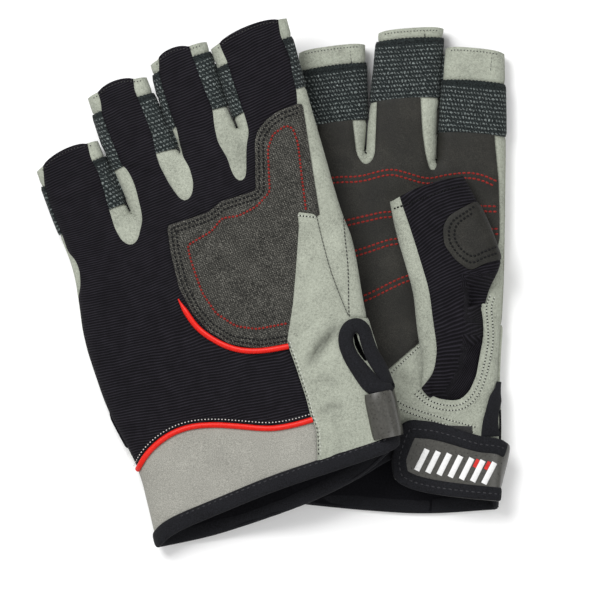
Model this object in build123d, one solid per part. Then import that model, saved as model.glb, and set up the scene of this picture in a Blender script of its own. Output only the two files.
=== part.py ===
from build123d import *
import os
from math import hypot

# Every length is in millimetres. A glove is first made lying on its back with its palm up: X runs across
# the hand to the thumb side, Y runs to the fingertips and Z rises from the back of the hand to the palm.

# ---- cloth and the layers of a glove, from the back of the hand up to the palm
CLOTH = 1.2          # thickness of one layer of cloth
CAVITY = 8.4         # height of the space inside an empty glove
FACING = 1.0         # thickness of the charcoal palm facing and of the finger wraps
SKIN = 1.1           # how far the wraps stand outside the finger side strips
FACING_INSET = 4.1   # suede left showing between the facing and a finger's edge
BACK_Z = CLOTH
WALL_Z = BACK_Z + CLOTH
PALM_Z = WALL_Z + CAVITY
FACING_Z = PALM_Z + CLOTH
TOP_Z = FACING_Z + FACING
GAP = 0.3            # clearance between pieces that move against each other
PIPING = 1.6

# ---- wrist: bound edge and keyhole slit
BINDING_WIDTH = 6.0
BINDING_PROUD = 0.6
SLIT_END = 0.42      # hand coordinate v where the keyhole slit ends
SLIT_BAR = 0.45      # hand coordinate v where its binding ends
GUSSET_END = 0.72    # hand coordinate v where the index side gusset meets the thumb side panel

# ---- strap, from the pad on the palm up to the badge
PAD = 0.8
LOOP_TOP_Z = FACING_Z + PAD
HOOK_Z = LOOP_TOP_Z + GAP
STRAP_Z = HOOK_Z + PAD
STRAP_TOP_Z = STRAP_Z + CLOTH
BADGE_TOP_Z = STRAP_TOP_Z + 0.5
STRAP_EDGE = 4.5     # width of the strap's bound edge
EDGE_PROUD = 0.2     # how far that edge stands above and below the strap
STRAP_OUT = 1.8      # how far the strap stands outside the wrist's thumb edge
STRAP_LOW, STRAP_HIGH = 6.5, 27

# ---- thumbs: floor height, plate thickness, whole height
OPEN_THUMB = (TOP_Z + 0.4, CLOTH, 8.0)
FLAT_THUMB = (TOP_Z + GAP, 1.0, 4.0)
THUMB_PATCH = 0.8
THUMB_ROOT_Z = TOP_Z + 0.1

# ---- how the left glove lies on the right one
LEAN = 13.6          # degrees that it leans about its little-finger edge
LEAN_AXIS = Axis((-46.8, -103.2, 0), (47.6, -147.2, 0))

EDGE_RADIUS, TIP_RADIUS, SLIT_RADIUS = 12, 1.5, 0.3
SLIT_WIDTH = 1.0     # at the bottom of the gap between two fingers
FAR = 40             # reach of the cutting shapes beyond a glove's outline

FINGERS = ("pinky", "ring", "middle", "index")
WRAP_SPANS = ((7, 27), (7, 30), (3.5, 26), (12, 34))    # from each fingertip

# Edges in hand coordinates: u is 0 at the little-finger side and 1 at the thumb side, v is 0 at the wrist
# and 1 at the knuckles. The third number is the corner's radius in millimetres.
KNUCKLE_PATCH = (
    (0.36, 0.97, 3), (0.60, 0.975, 8), (0.71, 0.97, 8), (0.775, 1.06, 5), (0.80, 1.15, 6), (0.95, 1.17, 5),
    (0.915, 0.83, 2), (0.845, 0.82, 1), (0.812, 0.723, 5), (0.687, 0.45, 3), (0.51, 0.495, 12),
    (0.345, 0.715, 12),
)
SUEDE_EDGE = (
    (0.965, 1.45, 0), (0.94, 1.0, 8), (0.922, 0.835, 1), (0.845, 0.82, 1), (0.812, 0.723, 4),
    (0.687, 0.452, 6), (0.709, 0.298, 8), (0.705, 0.15, 6), (0.685, -0.2, 0),
)
CUFF_EDGE = (
    (-0.3, 0.24, 0), (0.0, 0.255, 6), (0.087, 0.313, 12), (0.24, 0.325, 15), (0.502, 0.225, 30),
    (0.60, 0.195, 20), (0.78, 0.165, 0),
)
FACING_EDGE = (
    (-0.3, 0.40, 0), (0.12, 0.37, 10), (0.446, 0.385, 6), (0.62, 0.47, 6), (0.90, 0.62, 8), (0.985, 0.74, 4),
    (1.3, 0.78, 0),
)
THUMB_HOLE = ((0.64, 0.56, 4), (0.93, 0.60, 5), (0.89, 0.31, 8), (0.75, 0.285, 8), (0.64, 0.34, 6))
PIPED_EDGE = ((0.20, 0.75, 0), (0.50, 0.62, 0), (0.72, 0.40, 0), (0.50, 0.25, 0), (0.10, 0.50, 0))

# The strap, as distances in from the wrist's thumb edge and up from the wrist, and a radius.
STRAP_END = ((8, 29.4, 20), (33, 33.2, 8), (40, 32.3, 4), (42.2, 11.3, 4))
STRAP_BADGE = ((4.5, 9.5, 1.5), (4.5, 24, 1.5), (34.5, 27.5, 2), (36.5, 15.5, 1.5))


class Hand:
    """The plan of one glove. Edges run from the wrist to the fingers, and from the fingers to the wrist."""

    def __init__(self, wrist, knuckles, little_edge, tips, slits, thumb_edge, thumb, strip, patch, size):
        self.wrist, self.knuckles = wrist, knuckles
        self.little_edge, self.tips, self.slits, self.thumb_edge = little_edge, tips, slits, thumb_edge
        self.thumb_sides, self.thumb_strip, self.thumb_patch, self.thumb_size = thumb, strip, patch, size

    def at(self, u, v):
        """The plan point at hand coordinates u, v."""
        return mix(mix(*self.wrist, u), mix(*self.knuckles, u), v)

    def strap_at(self, inward, up):
        """The plan point at a distance in from the wrist's thumb edge and up from the wrist."""
        return moved(self.wrist[1], unit(self.wrist[1], self.thumb_edge[-1]), up, inward)


def mix(a, b, share):
    return (a[0] + (b[0] - a[0]) * share, a[1] + (b[1] - a[1]) * share)


def unit(a, b):
    length = hypot(b[0] - a[0], b[1] - a[1])
    return ((b[0] - a[0]) / length, (b[1] - a[1]) / length)


def moved(point, along, forward, left=0.0):
    """The point moved forward along a direction and to the left of it."""
    return (point[0] + along[0] * forward - along[1] * left, point[1] + along[1] * forward + along[0] * left)


def beyond(start, end, extra):
    """The point past the end of a line."""
    return moved(end, unit(start, end), extra)


RIGHT = Hand(
    wrist=((13.2, -88.0), (89.6, -90.0)),
    knuckles=((-10.4, 36.8), (93.2, 48.8)),
    little_edge=((1.6, -47.2), (-6.4, -15.2), (-10.4, 32.8)),
    tips=(((-16, 74.8), (7.2, 78.8)), ((10.8, 90.8), (37.2, 94.4)), ((42.8, 98.8), (68.4, 100.8)),
          ((69.4, 92.8), (92.4, 90.8))),
    slits=((13.2, 46.8), (37.2, 51.6), (66.1, 48.8)),
    thumb_edge=((93.2, 56.8), (92.4, -3.2), (89.8, -39.2), (91.0, -55.2)),
    thumb=(((62.5, -40, 0), (65.8, -28, 8), (57.8, -15, 8), (53.9, 3.7, 30), (46.8, 32.3, 1)),
           ((75.8, 42.4, 2), (81, 33, 10), (91.2, 8.5, 4), (90.6, 2.5, 6), (81.5, -12, 8), (80, -40, 0))),
    strip=((38, 34.5, 0), (51.2, 34.5, 0), (57.5, 14, 20), (64.3, -15.5, 20), (69, -41, 0), (40, -41, 0)),
    patch=((81.5, 32.2, 2), (74.5, 28, 3), (69, 24.6, 3), (68, 17, 5), (76, 6.5, 4), (82, 6.3, 2),
           (90.4, 10.6, 1)),
    size=OPEN_THUMB,
)
LEFT = Hand(
    wrist=((-45.6, -105.2), (50.0, -63.2)),
    knuckles=((-78.4, 10.8), (20.0, 52.8)),
    little_edge=((-52.8, -75.2), (-66.0, -50.8), (-75.2, -23.2), (-77.6, 7.2)),
    tips=(((-94, 44), (-69.6, 56.4)), ((-73.6, 73.2), (-50, 81.6)), ((-48.4, 86.4), (-26, 95.6)),
          ((-24.4, 93.2), (5.2, 105.2))),
    slits=((-56.4, 27.6), (-36.4, 51.6), (-13.6, 60.8)),
    thumb_edge=((10, 76.4), (28, 25.6), (32, 17.6), (37.2, -14.4), (41.6, -27.2), (45.6, -42.4)),
    thumb=(((20, -33, 0), (-4, 40, 2)), ((12, 44, 2), (34, -30, 0))),
    strip=((-12, 38, 0), (2, 44, 0), (26, -34, 0), (12, -36, 0)),
    patch=((15.8, 22, 2), (9, 20, 4), (11.5, 8, 4), (20.5, 7, 1)),
    size=FLAT_THUMB,
)


def flat(corners):
    """A flat face from its corners (x, y, radius)."""
    radii = [radius for x, y, radius in corners]
    return make_face(FilletPolyline(*[(x, y) for x, y, radius in corners], radius=radii, close=True))


def in_hand(hand, corners):
    return flat([(*hand.at(u, v), radius) for u, v, radius in corners])


def on_strap(hand, corners):
    return flat([(*hand.strap_at(inward, up), radius) for inward, up, radius in corners])


def slab(face, low, high):
    """The solid over a flat face between two heights."""
    return extrude(Pos(0, 0, low) * face, amount=high - low, dir=(0, 0, 1))


def finger_roots(hand):
    """The lowest points of each finger's left and right sides."""
    across = unit(*hand.knuckles)
    lefts = [hand.little_edge[-1]] + [moved(slit, across, SLIT_WIDTH / 2) for slit in hand.slits]
    rights = [moved(slit, across, -SLIT_WIDTH / 2) for slit in hand.slits] + [hand.thumb_edge[0]]
    return list(zip(lefts, rights))


def outline(hand, extra=0.0):
    """The glove's outline, with its fingertips and wrist moved out by extra."""
    corners = [(*beyond(hand.little_edge[0], hand.wrist[0], extra), TIP_RADIUS)]
    corners += [(*point, EDGE_RADIUS) for point in hand.little_edge]
    for index, (roots, tips) in enumerate(zip(finger_roots(hand), hand.tips)):
        left, right = [(*beyond(root, tip, extra), TIP_RADIUS) for root, tip in zip(roots, tips)]
        if index > 0:
            corners.append((*roots[0], SLIT_RADIUS))
        corners += [left, right]
        if index < 3:
            corners.append((*roots[1], SLIT_RADIUS))
    corners += [(*point, EDGE_RADIUS) for point in hand.thumb_edge]
    corners.append((*beyond(hand.thumb_edge[-1], hand.wrist[1], extra), TIP_RADIUS))
    return flat(corners)


def hand_band(hand, low, high):
    """A cutting face right across the hand between two values of v."""
    return in_hand(hand, ((-0.6, low, 0), (-0.6, high, 0), (1.6, high, 0), (1.6, low, 0)))


def wrist_zone(hand):
    """A cutting face over the bound wrist edge."""
    across = unit(*hand.wrist)
    left, right = beyond(hand.wrist[1], hand.wrist[0], FAR), beyond(hand.wrist[0], hand.wrist[1], FAR)
    points = [moved(left, across, 0, -FAR), moved(right, across, 0, -FAR)]
    points += [moved(right, across, 0, BINDING_WIDTH), moved(left, across, 0, BINDING_WIDTH)]
    return flat([(*point, 0) for point in points])


def finger_zone(hand, index):
    """A cutting face round one finger, out to the middle of the gaps beside it."""
    across = unit(*hand.knuckles)
    tips = [mix(left[1], right[0], 0.5) for left, right in zip(hand.tips, hand.tips[1:])]
    roots = [moved(hand.little_edge[-1], across, -FAR), *hand.slits, moved(hand.at(1, 0.9), across, FAR)]
    tips = [moved(hand.tips[0][0], across, -FAR), *tips, moved(hand.tips[3][1], across, FAR)]
    corners = [roots[index], mix(roots[index], tips[index], 1.5)]
    corners += [mix(roots[index + 1], tips[index + 1], 1.5), roots[index + 1]]
    return flat([(*point, 0) for point in corners])


def finger_band(hand, index, near, far):
    """A cutting face across one finger between two distances from its tip."""
    tip = mix(*hand.tips[index], 0.5)
    roots = (hand.little_edge[-1], *hand.slits, hand.at(1, 1))
    back = unit(tip, mix(roots[index], roots[index + 1], 0.5))
    points = [moved(tip, back, near, -FAR), moved(tip, back, far, -FAR)]
    points += [moved(tip, back, far, FAR), moved(tip, back, near, FAR)]
    return flat([(*point, 0) for point in points]) & finger_zone(hand, index)


def tube_plan(sides, extra=0.0):
    """The plan of a tube from its two sides, with both ends moved out by extra."""
    corners = []
    for side in sides:
        first, last = beyond(side[1], side[0], extra), beyond(side[-2], side[-1], extra)
        corners += [(*first, side[0][2]), *side[1:-1], (*last, side[-1][2])]
    return flat(corners)


def side_pieces(hand, whole, skin, inside, cuff_end):
    """The side strips between back and palm, from the little finger round to the slit at the wrist."""
    walls = sorted((skin - inside - cuff_end).faces(), key=lambda face: face.center().X)
    names = ("pinky_side_strip", "fourchette_pinky_ring", "fourchette_ring_middle", "fourchette_middle_index")
    pieces = {name: slab(wall, WALL_Z, PALM_Z) for name, wall in zip(names, walls)}
    thumb_wall = walls[4]
    pieces["index_side_gusset"] = slab(thumb_wall & hand_band(hand, GUSSET_END, 1.9), WALL_Z, PALM_Z)
    panel_wall = slab(thumb_wall & hand_band(hand, SLIT_BAR, GUSSET_END), WALL_Z, PALM_Z)
    panel = slab((whole - cuff_end) & suede_zone(hand), BACK_Z, WALL_Z)
    pieces["thumb_side_panel"] = panel + panel_wall
    edge = slab(thumb_wall & hand_band(hand, -0.2, SLIT_BAR), WALL_Z, PALM_Z)
    pieces["slit_binding"] = edge - slit_room(hand)
    return pieces


def suede_zone(hand):
    return in_hand(hand, (*SUEDE_EDGE, (1.5, -0.2, 0), (1.5, 1.45, 0)))


def cuff_zone(hand):
    return in_hand(hand, (*CUFF_EDGE, (0.78, -0.3, 0), (-0.3, -0.3, 0)))


def slit_room(hand):
    """The open slit at the thumb side of the wrist, between the back and the palm."""
    plan = in_hand(hand, ((0.8, -0.3, 0), (0.8, SLIT_END, 0), (1.5, SLIT_END, 0), (1.5, -0.3, 0)))
    return slab(plan, WALL_Z + CLOTH, PALM_Z - CLOTH)


def back_pieces(hand, whole, cuff_end):
    """The back of the hand: stretch panel, cuff, patch and the two red pipings."""
    body = whole - cuff_end
    cuff, suede = cuff_zone(hand), suede_zone(hand)
    patch = in_hand(hand, KNUCKLE_PATCH) & whole
    patch_ring = (offset(patch, amount=PIPING) - patch) & in_hand(hand, PIPED_EDGE)
    seam = offset(cuff, amount=PIPING / 2) - offset(cuff, amount=-PIPING / 2)
    seam = (seam & body & hand_band(hand, 0.1, 0.5)) - suede
    return {
        "back_panel": slab(body - cuff - suede, BACK_Z, WALL_Z),
        "back_cuff": slab((body & cuff) - suede, BACK_Z, WALL_Z),
        "knuckle_patch": slab(patch, 0, BACK_Z),
        "patch_piping": slab(patch_ring, 0, BACK_Z),
        "cuff_piping": slab(seam, 0, BACK_Z),
    }


def palm_pieces(hand, whole, skin, cuff_end):
    """The palm: suede panel with the thumb's cut-out, facing, finger wraps and the thumb's root."""
    hole = in_hand(hand, THUMB_HOLE)
    facing = offset(outline(hand, FAR / 4), amount=-FACING_INSET)
    facing = facing & in_hand(hand, (*FACING_EDGE, (1.3, 2.2, 0), (-0.3, 2.2, 0)))
    facing = (facing & whole) - hole
    pieces = {
        "palm_panel": slab(skin - hole - cuff_end, PALM_Z, FACING_Z),
        "thumb_root": slab(hole - offset(hole, amount=-CLOTH), PALM_Z, THUMB_ROOT_Z),
    }
    for index, (near, far) in enumerate(WRAP_SPANS):
        band = whole & finger_band(hand, index, near, far)
        sides = slab(band - skin, WALL_Z, FACING_Z)
        pieces["wrap_" + FINGERS[index]] = sides + slab(band, FACING_Z, TOP_Z)
        facing = facing - finger_band(hand, index, -FAR, far)
    pieces["palm_reinforcement"] = slab(facing, FACING_Z, TOP_Z)
    return pieces


def thumb_pieces(hand):
    """The thumb: a tube open at its tip and root. Suede makes its underside and one side."""
    floor, plate, height = hand.thumb_size
    whole = tube_plan(hand.thumb_sides)
    room = offset(tube_plan(hand.thumb_sides, FAR / 4), amount=-plate) & whole
    tube = slab(whole, floor, floor + height) - slab(room, floor + plate, floor + height - plate)
    strip = slab(flat(hand.thumb_strip) & whole, floor, floor + height) + slab(whole, floor, floor + plate)
    patch = slab(flat(hand.thumb_patch) & whole, floor + height, floor + height + THUMB_PATCH)
    return {"thumb_back": tube - strip, "thumb_palm": tube & strip, "thumb_patch": patch}


def wrist_binding(hand, whole, inside, cuff_end):
    """The bound edge of the wrist, a flattened ring that is open at the slit."""
    ring = slab(whole & cuff_end, BACK_Z - BINDING_PROUD, FACING_Z + BINDING_PROUD)
    return ring - slab(inside & cuff_end, WALL_Z, PALM_Z) - slit_room(hand)


def strap_plan(hand, start):
    """The free flap's plan, from a distance in from the wrist's thumb edge."""
    return on_strap(hand, ((start, 2.9, 0), (start, STRAP_HIGH, 0), *STRAP_END))


def strap_zone(hand, start):
    return on_strap(hand, ((start, -FAR, 0), (start, FAR * 2, 0), (FAR * 2, FAR * 2, 0), (FAR * 2, -FAR, 0)))


def strap_pieces(hand):
    """The closing strap: its sewn root round the wrist's edge, and the flap with its edge, pads and badge."""
    flap = strap_plan(hand, -STRAP_OUT)
    inner = offset(strap_plan(hand, -FAR / 2), amount=-STRAP_EDGE)
    edge = (flap - inner) & strap_zone(hand, 1)
    wall = on_strap(hand, [(a, b, 0) for a, b in ((-STRAP_OUT, STRAP_LOW), (-STRAP_OUT, STRAP_HIGH),
                                                  (-GAP, STRAP_HIGH), (-GAP, STRAP_LOW))])
    plate = on_strap(hand, ((-STRAP_OUT, STRAP_LOW, 0), (-STRAP_OUT, STRAP_HIGH, 0), (22, STRAP_HIGH, 2),
                            (22, STRAP_LOW + 2, 2)))
    return {
        "strap": slab(flap - edge, STRAP_Z, STRAP_TOP_Z),
        "strap_binding": slab(edge, STRAP_Z - EDGE_PROUD, STRAP_TOP_Z + EDGE_PROUD),
        "strap_badge": slab(on_strap(hand, STRAP_BADGE) & inner, STRAP_TOP_Z, BADGE_TOP_Z),
        "hook_pad": slab(offset(inner, amount=-1) & strap_zone(hand, 9), HOOK_Z, STRAP_Z),
        "loop_pad": slab(inner & strap_zone(hand, 7), FACING_Z, LOOP_TOP_Z),
        "strap_root": slab(wall, 0, STRAP_Z - GAP) + slab(plate, 0, CLOTH),
    }


def glove(hand):
    """Every piece of one glove, lying on its back."""
    whole = outline(hand)
    beyond_ends = outline(hand, FAR / 4)
    skin = offset(beyond_ends, amount=-SKIN) & whole
    inside = offset(beyond_ends, amount=-SKIN - CLOTH) & whole
    cuff_end = wrist_zone(hand)
    pieces = back_pieces(hand, whole, cuff_end)
    pieces |= side_pieces(hand, whole, skin, inside, cuff_end)
    pieces |= palm_pieces(hand, whole, skin, cuff_end)
    pieces |= thumb_pieces(hand)
    pieces |= strap_pieces(hand)
    pieces["wrist_binding"] = wrist_binding(hand, whole, inside, cuff_end)
    return pieces


def turned_over(piece):
    """A piece of a glove that lies palm down and leans about its little-finger edge."""
    return piece.mirror(Plane.XY.offset(TOP_Z / 2)).rotate(LEAN_AXIS, LEAN)


def main():
    right = {"right_" + name: piece for name, piece in glove(RIGHT).items()}
    left = {"left_" + name: turned_over(piece) for name, piece in glove(LEFT).items()}
    drop = -min(piece.bounding_box().min.Z for piece in left.values())
    pieces = right | {name: Pos(0, 0, drop) * piece for name, piece in left.items()}
    boxes = [piece.bounding_box() for piece in pieces.values()]
    middle_x = (min(box.min.X for box in boxes) + max(box.max.X for box in boxes)) / 2
    middle_y = (min(box.min.Y for box in boxes) + max(box.max.Y for box in boxes)) / 2
    base = min(box.min.Z for box in boxes)
    print("origin moved by", round(-middle_x, 4), round(-middle_y, 4), round(-base, 4), "left dropped", round(drop, 4))
    os.makedirs("parts", exist_ok=True)
    for name, piece in pieces.items():
        export_step(Pos(-middle_x, -middle_y, -base) * piece, f"parts/{name}.step")


main()
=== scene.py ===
import bmesh
import bpy
import numpy as np
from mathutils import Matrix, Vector, noise
from mathutils.geometry import delaunay_2d_cdt

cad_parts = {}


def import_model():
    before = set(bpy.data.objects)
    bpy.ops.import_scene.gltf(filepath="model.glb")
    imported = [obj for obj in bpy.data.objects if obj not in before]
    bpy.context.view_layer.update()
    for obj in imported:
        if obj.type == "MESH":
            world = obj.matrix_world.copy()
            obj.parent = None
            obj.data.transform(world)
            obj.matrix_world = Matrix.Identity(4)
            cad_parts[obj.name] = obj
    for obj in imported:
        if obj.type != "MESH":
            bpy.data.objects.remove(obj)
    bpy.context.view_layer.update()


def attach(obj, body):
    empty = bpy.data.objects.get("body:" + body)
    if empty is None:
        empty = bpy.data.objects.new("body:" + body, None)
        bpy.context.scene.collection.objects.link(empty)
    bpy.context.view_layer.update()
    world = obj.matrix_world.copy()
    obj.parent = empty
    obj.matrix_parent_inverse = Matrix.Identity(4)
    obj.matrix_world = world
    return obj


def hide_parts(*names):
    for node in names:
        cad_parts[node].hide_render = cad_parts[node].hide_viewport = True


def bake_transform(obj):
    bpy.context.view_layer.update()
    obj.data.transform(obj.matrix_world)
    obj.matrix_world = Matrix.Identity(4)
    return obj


# The plan of each glove is in millimetres, seen with X to the right and Y up, as in part.py. A glove is built
# lying on its back with the palm up, then put in the row frame: the right glove as it is, the left one turned
# over and resting on the right one.

PALM, BACK = 1, -1

# ---- the cross-section of an empty glove
MID = 6.7            # height of the side seams
HALF = 4.6           # from the side seams up to the palm and down to the back
CROWN = 0.9          # how much fuller the middle is
EDGE = 6.0           # width of the rounded edge
CLOTH = 1.0          # thickness of one layer
SEAM_GROOVE = 0.4    # how deep the cloth is drawn in along a seam

# ---- how far the sewn-on layers stand proud
PATCH_LIFT = 0.75
FACING_LIFT = 0.7
WRAP_LIFT = 0.75
WRIST_ZONE = -52     # nearer the wrist than this, cut edges are hidden by the dark lining

WRAP_SPANS = {
    "right": ((6.8, 27), (7.4, 30), (3.6, 27.4), (12.6, 33.4)),
    "left": ((6.8, 27), (6.8, 30.4), (3.9, 26.4), (7.9, 28.2)),
}
FINGERS = ("pinky", "ring", "middle", "index")
FINGER_GAPS = ("pinky_ring", "ring_middle", "middle_index")

# Height of the left glove's underside above the floor, by the distance from its little-finger edge.
REST_LINE = ((-25, 0.0), (0, 0.4), (30, 4.6), (62, 15.2), (85, 18.9), (108, 20.6), (125, 20.2))
REST_FROM = np.array((-46.8, -103.2))
REST_ACROSS = np.array((0.9515, 0.3077))
TURNED_ABOUT = 13.0                   # the left glove's heights are taken from this when it is turned over
PLAN_TO_ROW = (1.5038, 0.9757, 0)     # from the plan's origin to the row frame's

RIGHT = {
    "wrist": ((13.2, -88.0), (89.6, -90.0)),
    "knuckles": ((-10.4, 36.8), (93.2, 48.8)),
    "little_edge": ((1.6, -47.2), (-6.4, -15.2), (-10.4, 32.8)),
    "pinky_side": (),
    "tips": (((-16, 74.8), (7.2, 78.8)), ((10.8, 91.4), (37.2, 94.8)), ((42.6, 99.4), (68.6, 101.2)),
             ((69.4, 93.4), (92.6, 91.2))),
    "slits": ((13.2, 46.8), (37.2, 51.6), (66.1, 48.8)),
    "closed": ((11.2, 62), (38.0, 62.6), (67.6, 88)),
    "thumb_edge": ((93.2, 56.8), (92.4, -3.2), (89.8, -39.2), (91.0, -55.2)),
    "wrist_edge": {PALM: ((88, -74), (60, -66), (46, -70), (34, -78)), BACK: ((62, -92), (38, -90.5))},
    "tip_seams": (None, (31.1, 93), (60.9, 101), (88.0, 91.8)),
}
LEFT = {
    "wrist": ((-45.6, -105.2), (50.0, -63.2)),
    "knuckles": ((-78.4, 10.8), (20.0, 52.8)),
    "little_edge": ((-52.8, -75.2), (-66.0, -50.8), (-75.2, -23.2), (-77.4, -6), (-79.4, 5.1)),
    "pinky_side": ((-83.9, 16.8), (-88.6, 28)),
    "tips": (((-94, 44), (-69.6, 56.4)), ((-73.6, 73.2), (-50, 81.6)), ((-48.4, 86.4), (-26, 95.6)),
             ((-24.4, 92.6), (5.6, 105))),
    "slits": ((-56.4, 27.6), (-36.4, 51.6), (-13.6, 60.8)),
    "closed": ((-63.5, 42.5), (-42.6, 63.4), (-18.8, 73.4)),
    "thumb_edge": ((13.4, 76.4), (28, 25.6), (32, 17.6), (37.2, -14.4), (41.6, -27.2), (45.6, -42.4)),
    "wrist_edge": {BACK: ((49.6, -66), (30.5, -72.6), (2.6, -81.8), (-21, -91.6), (-40, -99.6)),
                   PALM: ((36, -77), (14.5, -87.6), (-11.6, -96.8), (-26, -101.2))},
    "back_on_tip": ((0.12, 0.83), (0.2, 0.8), (0.13, 0.68), (0.12, 0.9)),
    "tip_seams": (None, None, None, None),
}
# ---- seams on the back of the hand, as they lie on the left glove
BACK_CLOTH = (
    (-30, -130), (-52, -104), (-58, -76), (-68.6, -52), (-78, -26), (-79, -10), (-76.8, -2), (-77, 4),
    (-78.4, 8),
    (-82.1, 12.1), (-83.4, 16.8), (-88, 27.9), (-91.2, 38), (-91.6, 47.2), (-96, 60),
    (-76, 66), (-73.6, 56), (-72.4, 49.6), (-69.2, 43.6), (-65.2, 29.6), (-62.8, 21.6), (-60, 16.4),
    (-56.4, 14.4), (-53.6, 16.4), (-51.6, 24.8), (-54.4, 37.6), (-56.1, 42), (-58.2, 45.4), (-60.2, 46.6),
    (-61.1, 49.5), (-66.1, 61.6), (-68.3, 67.7), (-68.2, 71), (-69.1, 74.2), (-74, 86),
    (-57, 90), (-55.1, 80.4), (-55, 77), (-51.8, 69.2), (-47.9, 59.2), (-46.4, 51.6), (-44.8, 46.4),
    (-40.8, 38.8), (-36.8, 33.2), (-34.2, 32.2), (-31.9, 34.5), (-31.2, 39.2), (-32.9, 45.8), (-35.7, 50.2),
    (-37, 54.5), (-38, 60.6), (-41.1, 68.8), (-44.3, 78.8), (-45.4, 83.8), (-45.2, 87.2), (-46, 100),
    (-35, 102), (-33.2, 94.8), (-31.2, 88.4), (-26.8, 76.4), (-23.6, 69), (-23, 62.4), (-21.6, 55.8),
    (-17.6, 49.1), (-16, 43.8), (-14, 40.6), (-11.6, 40.2), (-10.2, 42.8), (-10.2, 53.6), (-9.2, 59.7),
    (-10.7, 65.4), (-12.8, 72), (-16, 82), (-17.6, 87.2), (-20.8, 94.2), (-24, 104),
    (1.5, 116), (2.8, 103.6), (3.6, 98), (7.2, 90.4), (8.4, 82), (10, 76.4), (10.2, 70), (12, 20), (8, -20),
    (30, -100), (10, -130),
)
PATCH_EDGE = (
    (6.6, -24.8), (-5, -26.6), (-16.8, -24.8), (-25.6, -19.4), (-32, -12), (-37, -2.4), (-40.4, 11.6),
    (-41.8, 22.4), (-31.7, 25.6), (-25.2, 27.9), (-20.5, 32), (-6.4, 36.4), (-6.8, 56), (-5.6, 60.4),
    (-2, 64.8), (2.4, 68), (10.4, 71),
)
RED_INSET = (
    (13.6, 28.6), (12, 41.2), (10.4, 55.2), (8.4, 61.2), (5.6, 62.4), (0.4, 58.8), (-1.6, 53.2), (-1.2, 42.4),
    (-0.8, 36), (-6, 30.2), (-13, 26.4), (-19.9, 25.4), (-24, 20.3), (-33.7, 14.6), (-32.4, 8.8), (-28, -4),
    (-22.4, -12.4), (-14.4, -17.6), (-6, -18.8), (6.6, -16.4),
)
PATCH_PIPING = ((-37.4, -6.8), (-35.6, -10), (-29.8, -18.8), (-20.2, -25), (-12, -27.5), (-3.5, -27.5),
                (6.6, -25.6))
SIDE_PANEL = (
    (10.2, 27.8), (10.8, 22.4), (9.6, 5.2), (8.4, -8.8), (6, -24), (9.6, -33.9), (13.6, -46.1), (15.7, -54.3),
    (17.8, -58.6), (18.1, -70), (19, -100), (80, -100), (60, -14.4), (30.7, -14.4), (26.4, -4.1), (23, 5.2),
    (20, 16.3), (17.5, 27),
)
GUSSET = (
    (-2, 112), (2.8, 103.6), (7.2, 90.4), (8.4, 82), (10, 76.4), (10.2, 71), (17.3, 28.2), (17.4, 27),
    (20, 16.3),
    (23, 5.2), (26.4, -4.1), (30.7, -14.4), (60, -14.4), (60, 28), (40, 112),
)
CUFF_EDGE = (
    (-53.3, -74.7), (-50.4, -69), (-45.1, -63.7), (-38.6, -59.6), (-31.2, -57.4), (-22.3, -56.9),
    (-11.6, -57.7), (-2.7, -58.5), (3, -58.1), (9.6, -56.8), (16.2, -54.8),
)
KEYHOLE = (
    (42.6, -42.6), (40, -41.4), (35.8, -36), (31.6, -30.2), (29.4, -25), (29.4, -20.6), (31.4, -17.6),
    (34.2, -17.2),
    (36.2, -19.6), (37, -23.2), (39.2, -29.3), (42, -34.6), (45.4, -41.4),
)
RIGHT_KEYHOLE_SHIFT = 3.6     # the right glove's keyhole lies this much further in than the warp puts it
KEYHOLE_LIP = ((38.6, -41.4), (43.5, -42.8), (48.4, -44.4))
KEYHOLE_GAP = ((32.4, -20.8), (33.6, -20.2), (34.2, -22.4), (36.6, -28), (38.4, -31.6),
               (37.2, -31.8), (34.4, -28), (33, -25))
# ---- seams on the palm, as they lie on the right glove
SLIT_EDGE = ((89.9, -40), (89, -45.8), (87.6, -51.1), (86.8, -56.4), (86.9, -61.7))
PALM_FACING = (
    (1, -44), (20, -40), (45.2, -36), (59.6, -23.2), (80, -4), (88, 6), (90.8, 17), (90.4, 40.4),
    (88.8, 56.8),
    (88.6, 70), (66.2, 70), (66, 46.8), (64.8, 44.2), (62.8, 45), (61.2, 50.8), (60, 59.6), (59.2, 74),
    (58.6, 84), (43, 84), (42, 72), (41.2, 50.8), (39.4, 47.4), (36.4, 46.8), (33.6, 51), (32.2, 63.2),
    (31.6, 72), (19.8, 72), (18.4, 61.8), (16.2, 47), (13.6, 42), (10.6, 42.6), (8.6, 48), (5, 60), (-9, 60),
    (-7.2, 32), (-3.4, -14),
)
THUMB_HOLE = (
    (60.4, -41.1), (62.4, -43.4), (63.8, -45.4), (67.1, -46.7), (72.4, -47.4), (75.7, -46.7), (79, -43.4),
    (81.6, -37.4), (83, -29.5), (84.3, -22.8), (84, -16.2), (83.3, -9.6), (80, -2), (70, -4), (64, -22),
)
CUT_OUT_ROW = (
    (87.4, -5), (85.4, -9.5), (86.2, -16), (86.4, -24), (85.2, -31), (83.4, -38.6), (80.6, -44.8),
    (76.6, -48.6), (72.6, -49.6), (66, -48.8), (61.8, -46.6), (58.2, -43.2),
)
PALM_ROWS = (
    ((-4, 36), (10, 38), (24, 42), (35.2, 42), (42.4, 44.2), (48.4, 45.2), (55, 43.2), (62.4, 40.9),
     (69.2, 42.8), (79.2, 43.9), (85.2, 42.4), (89.9, 40.1)),
    ((-3, 19), (14, 20.8), (30.2, 24.8), (47.1, 28.6), (62, 25.6), (76, 30.6), (89.9, 30.2)),
    ((-2, 6), (16, 8.6), (34, 12.6), (49.4, 17.9), (62, 15.8), (78, 20.4), (90.4, 21.4)),
    ((0, -12), (18, -10), (36.4, -5.8), (53.2, 2.6), (62, 4)),
)
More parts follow.
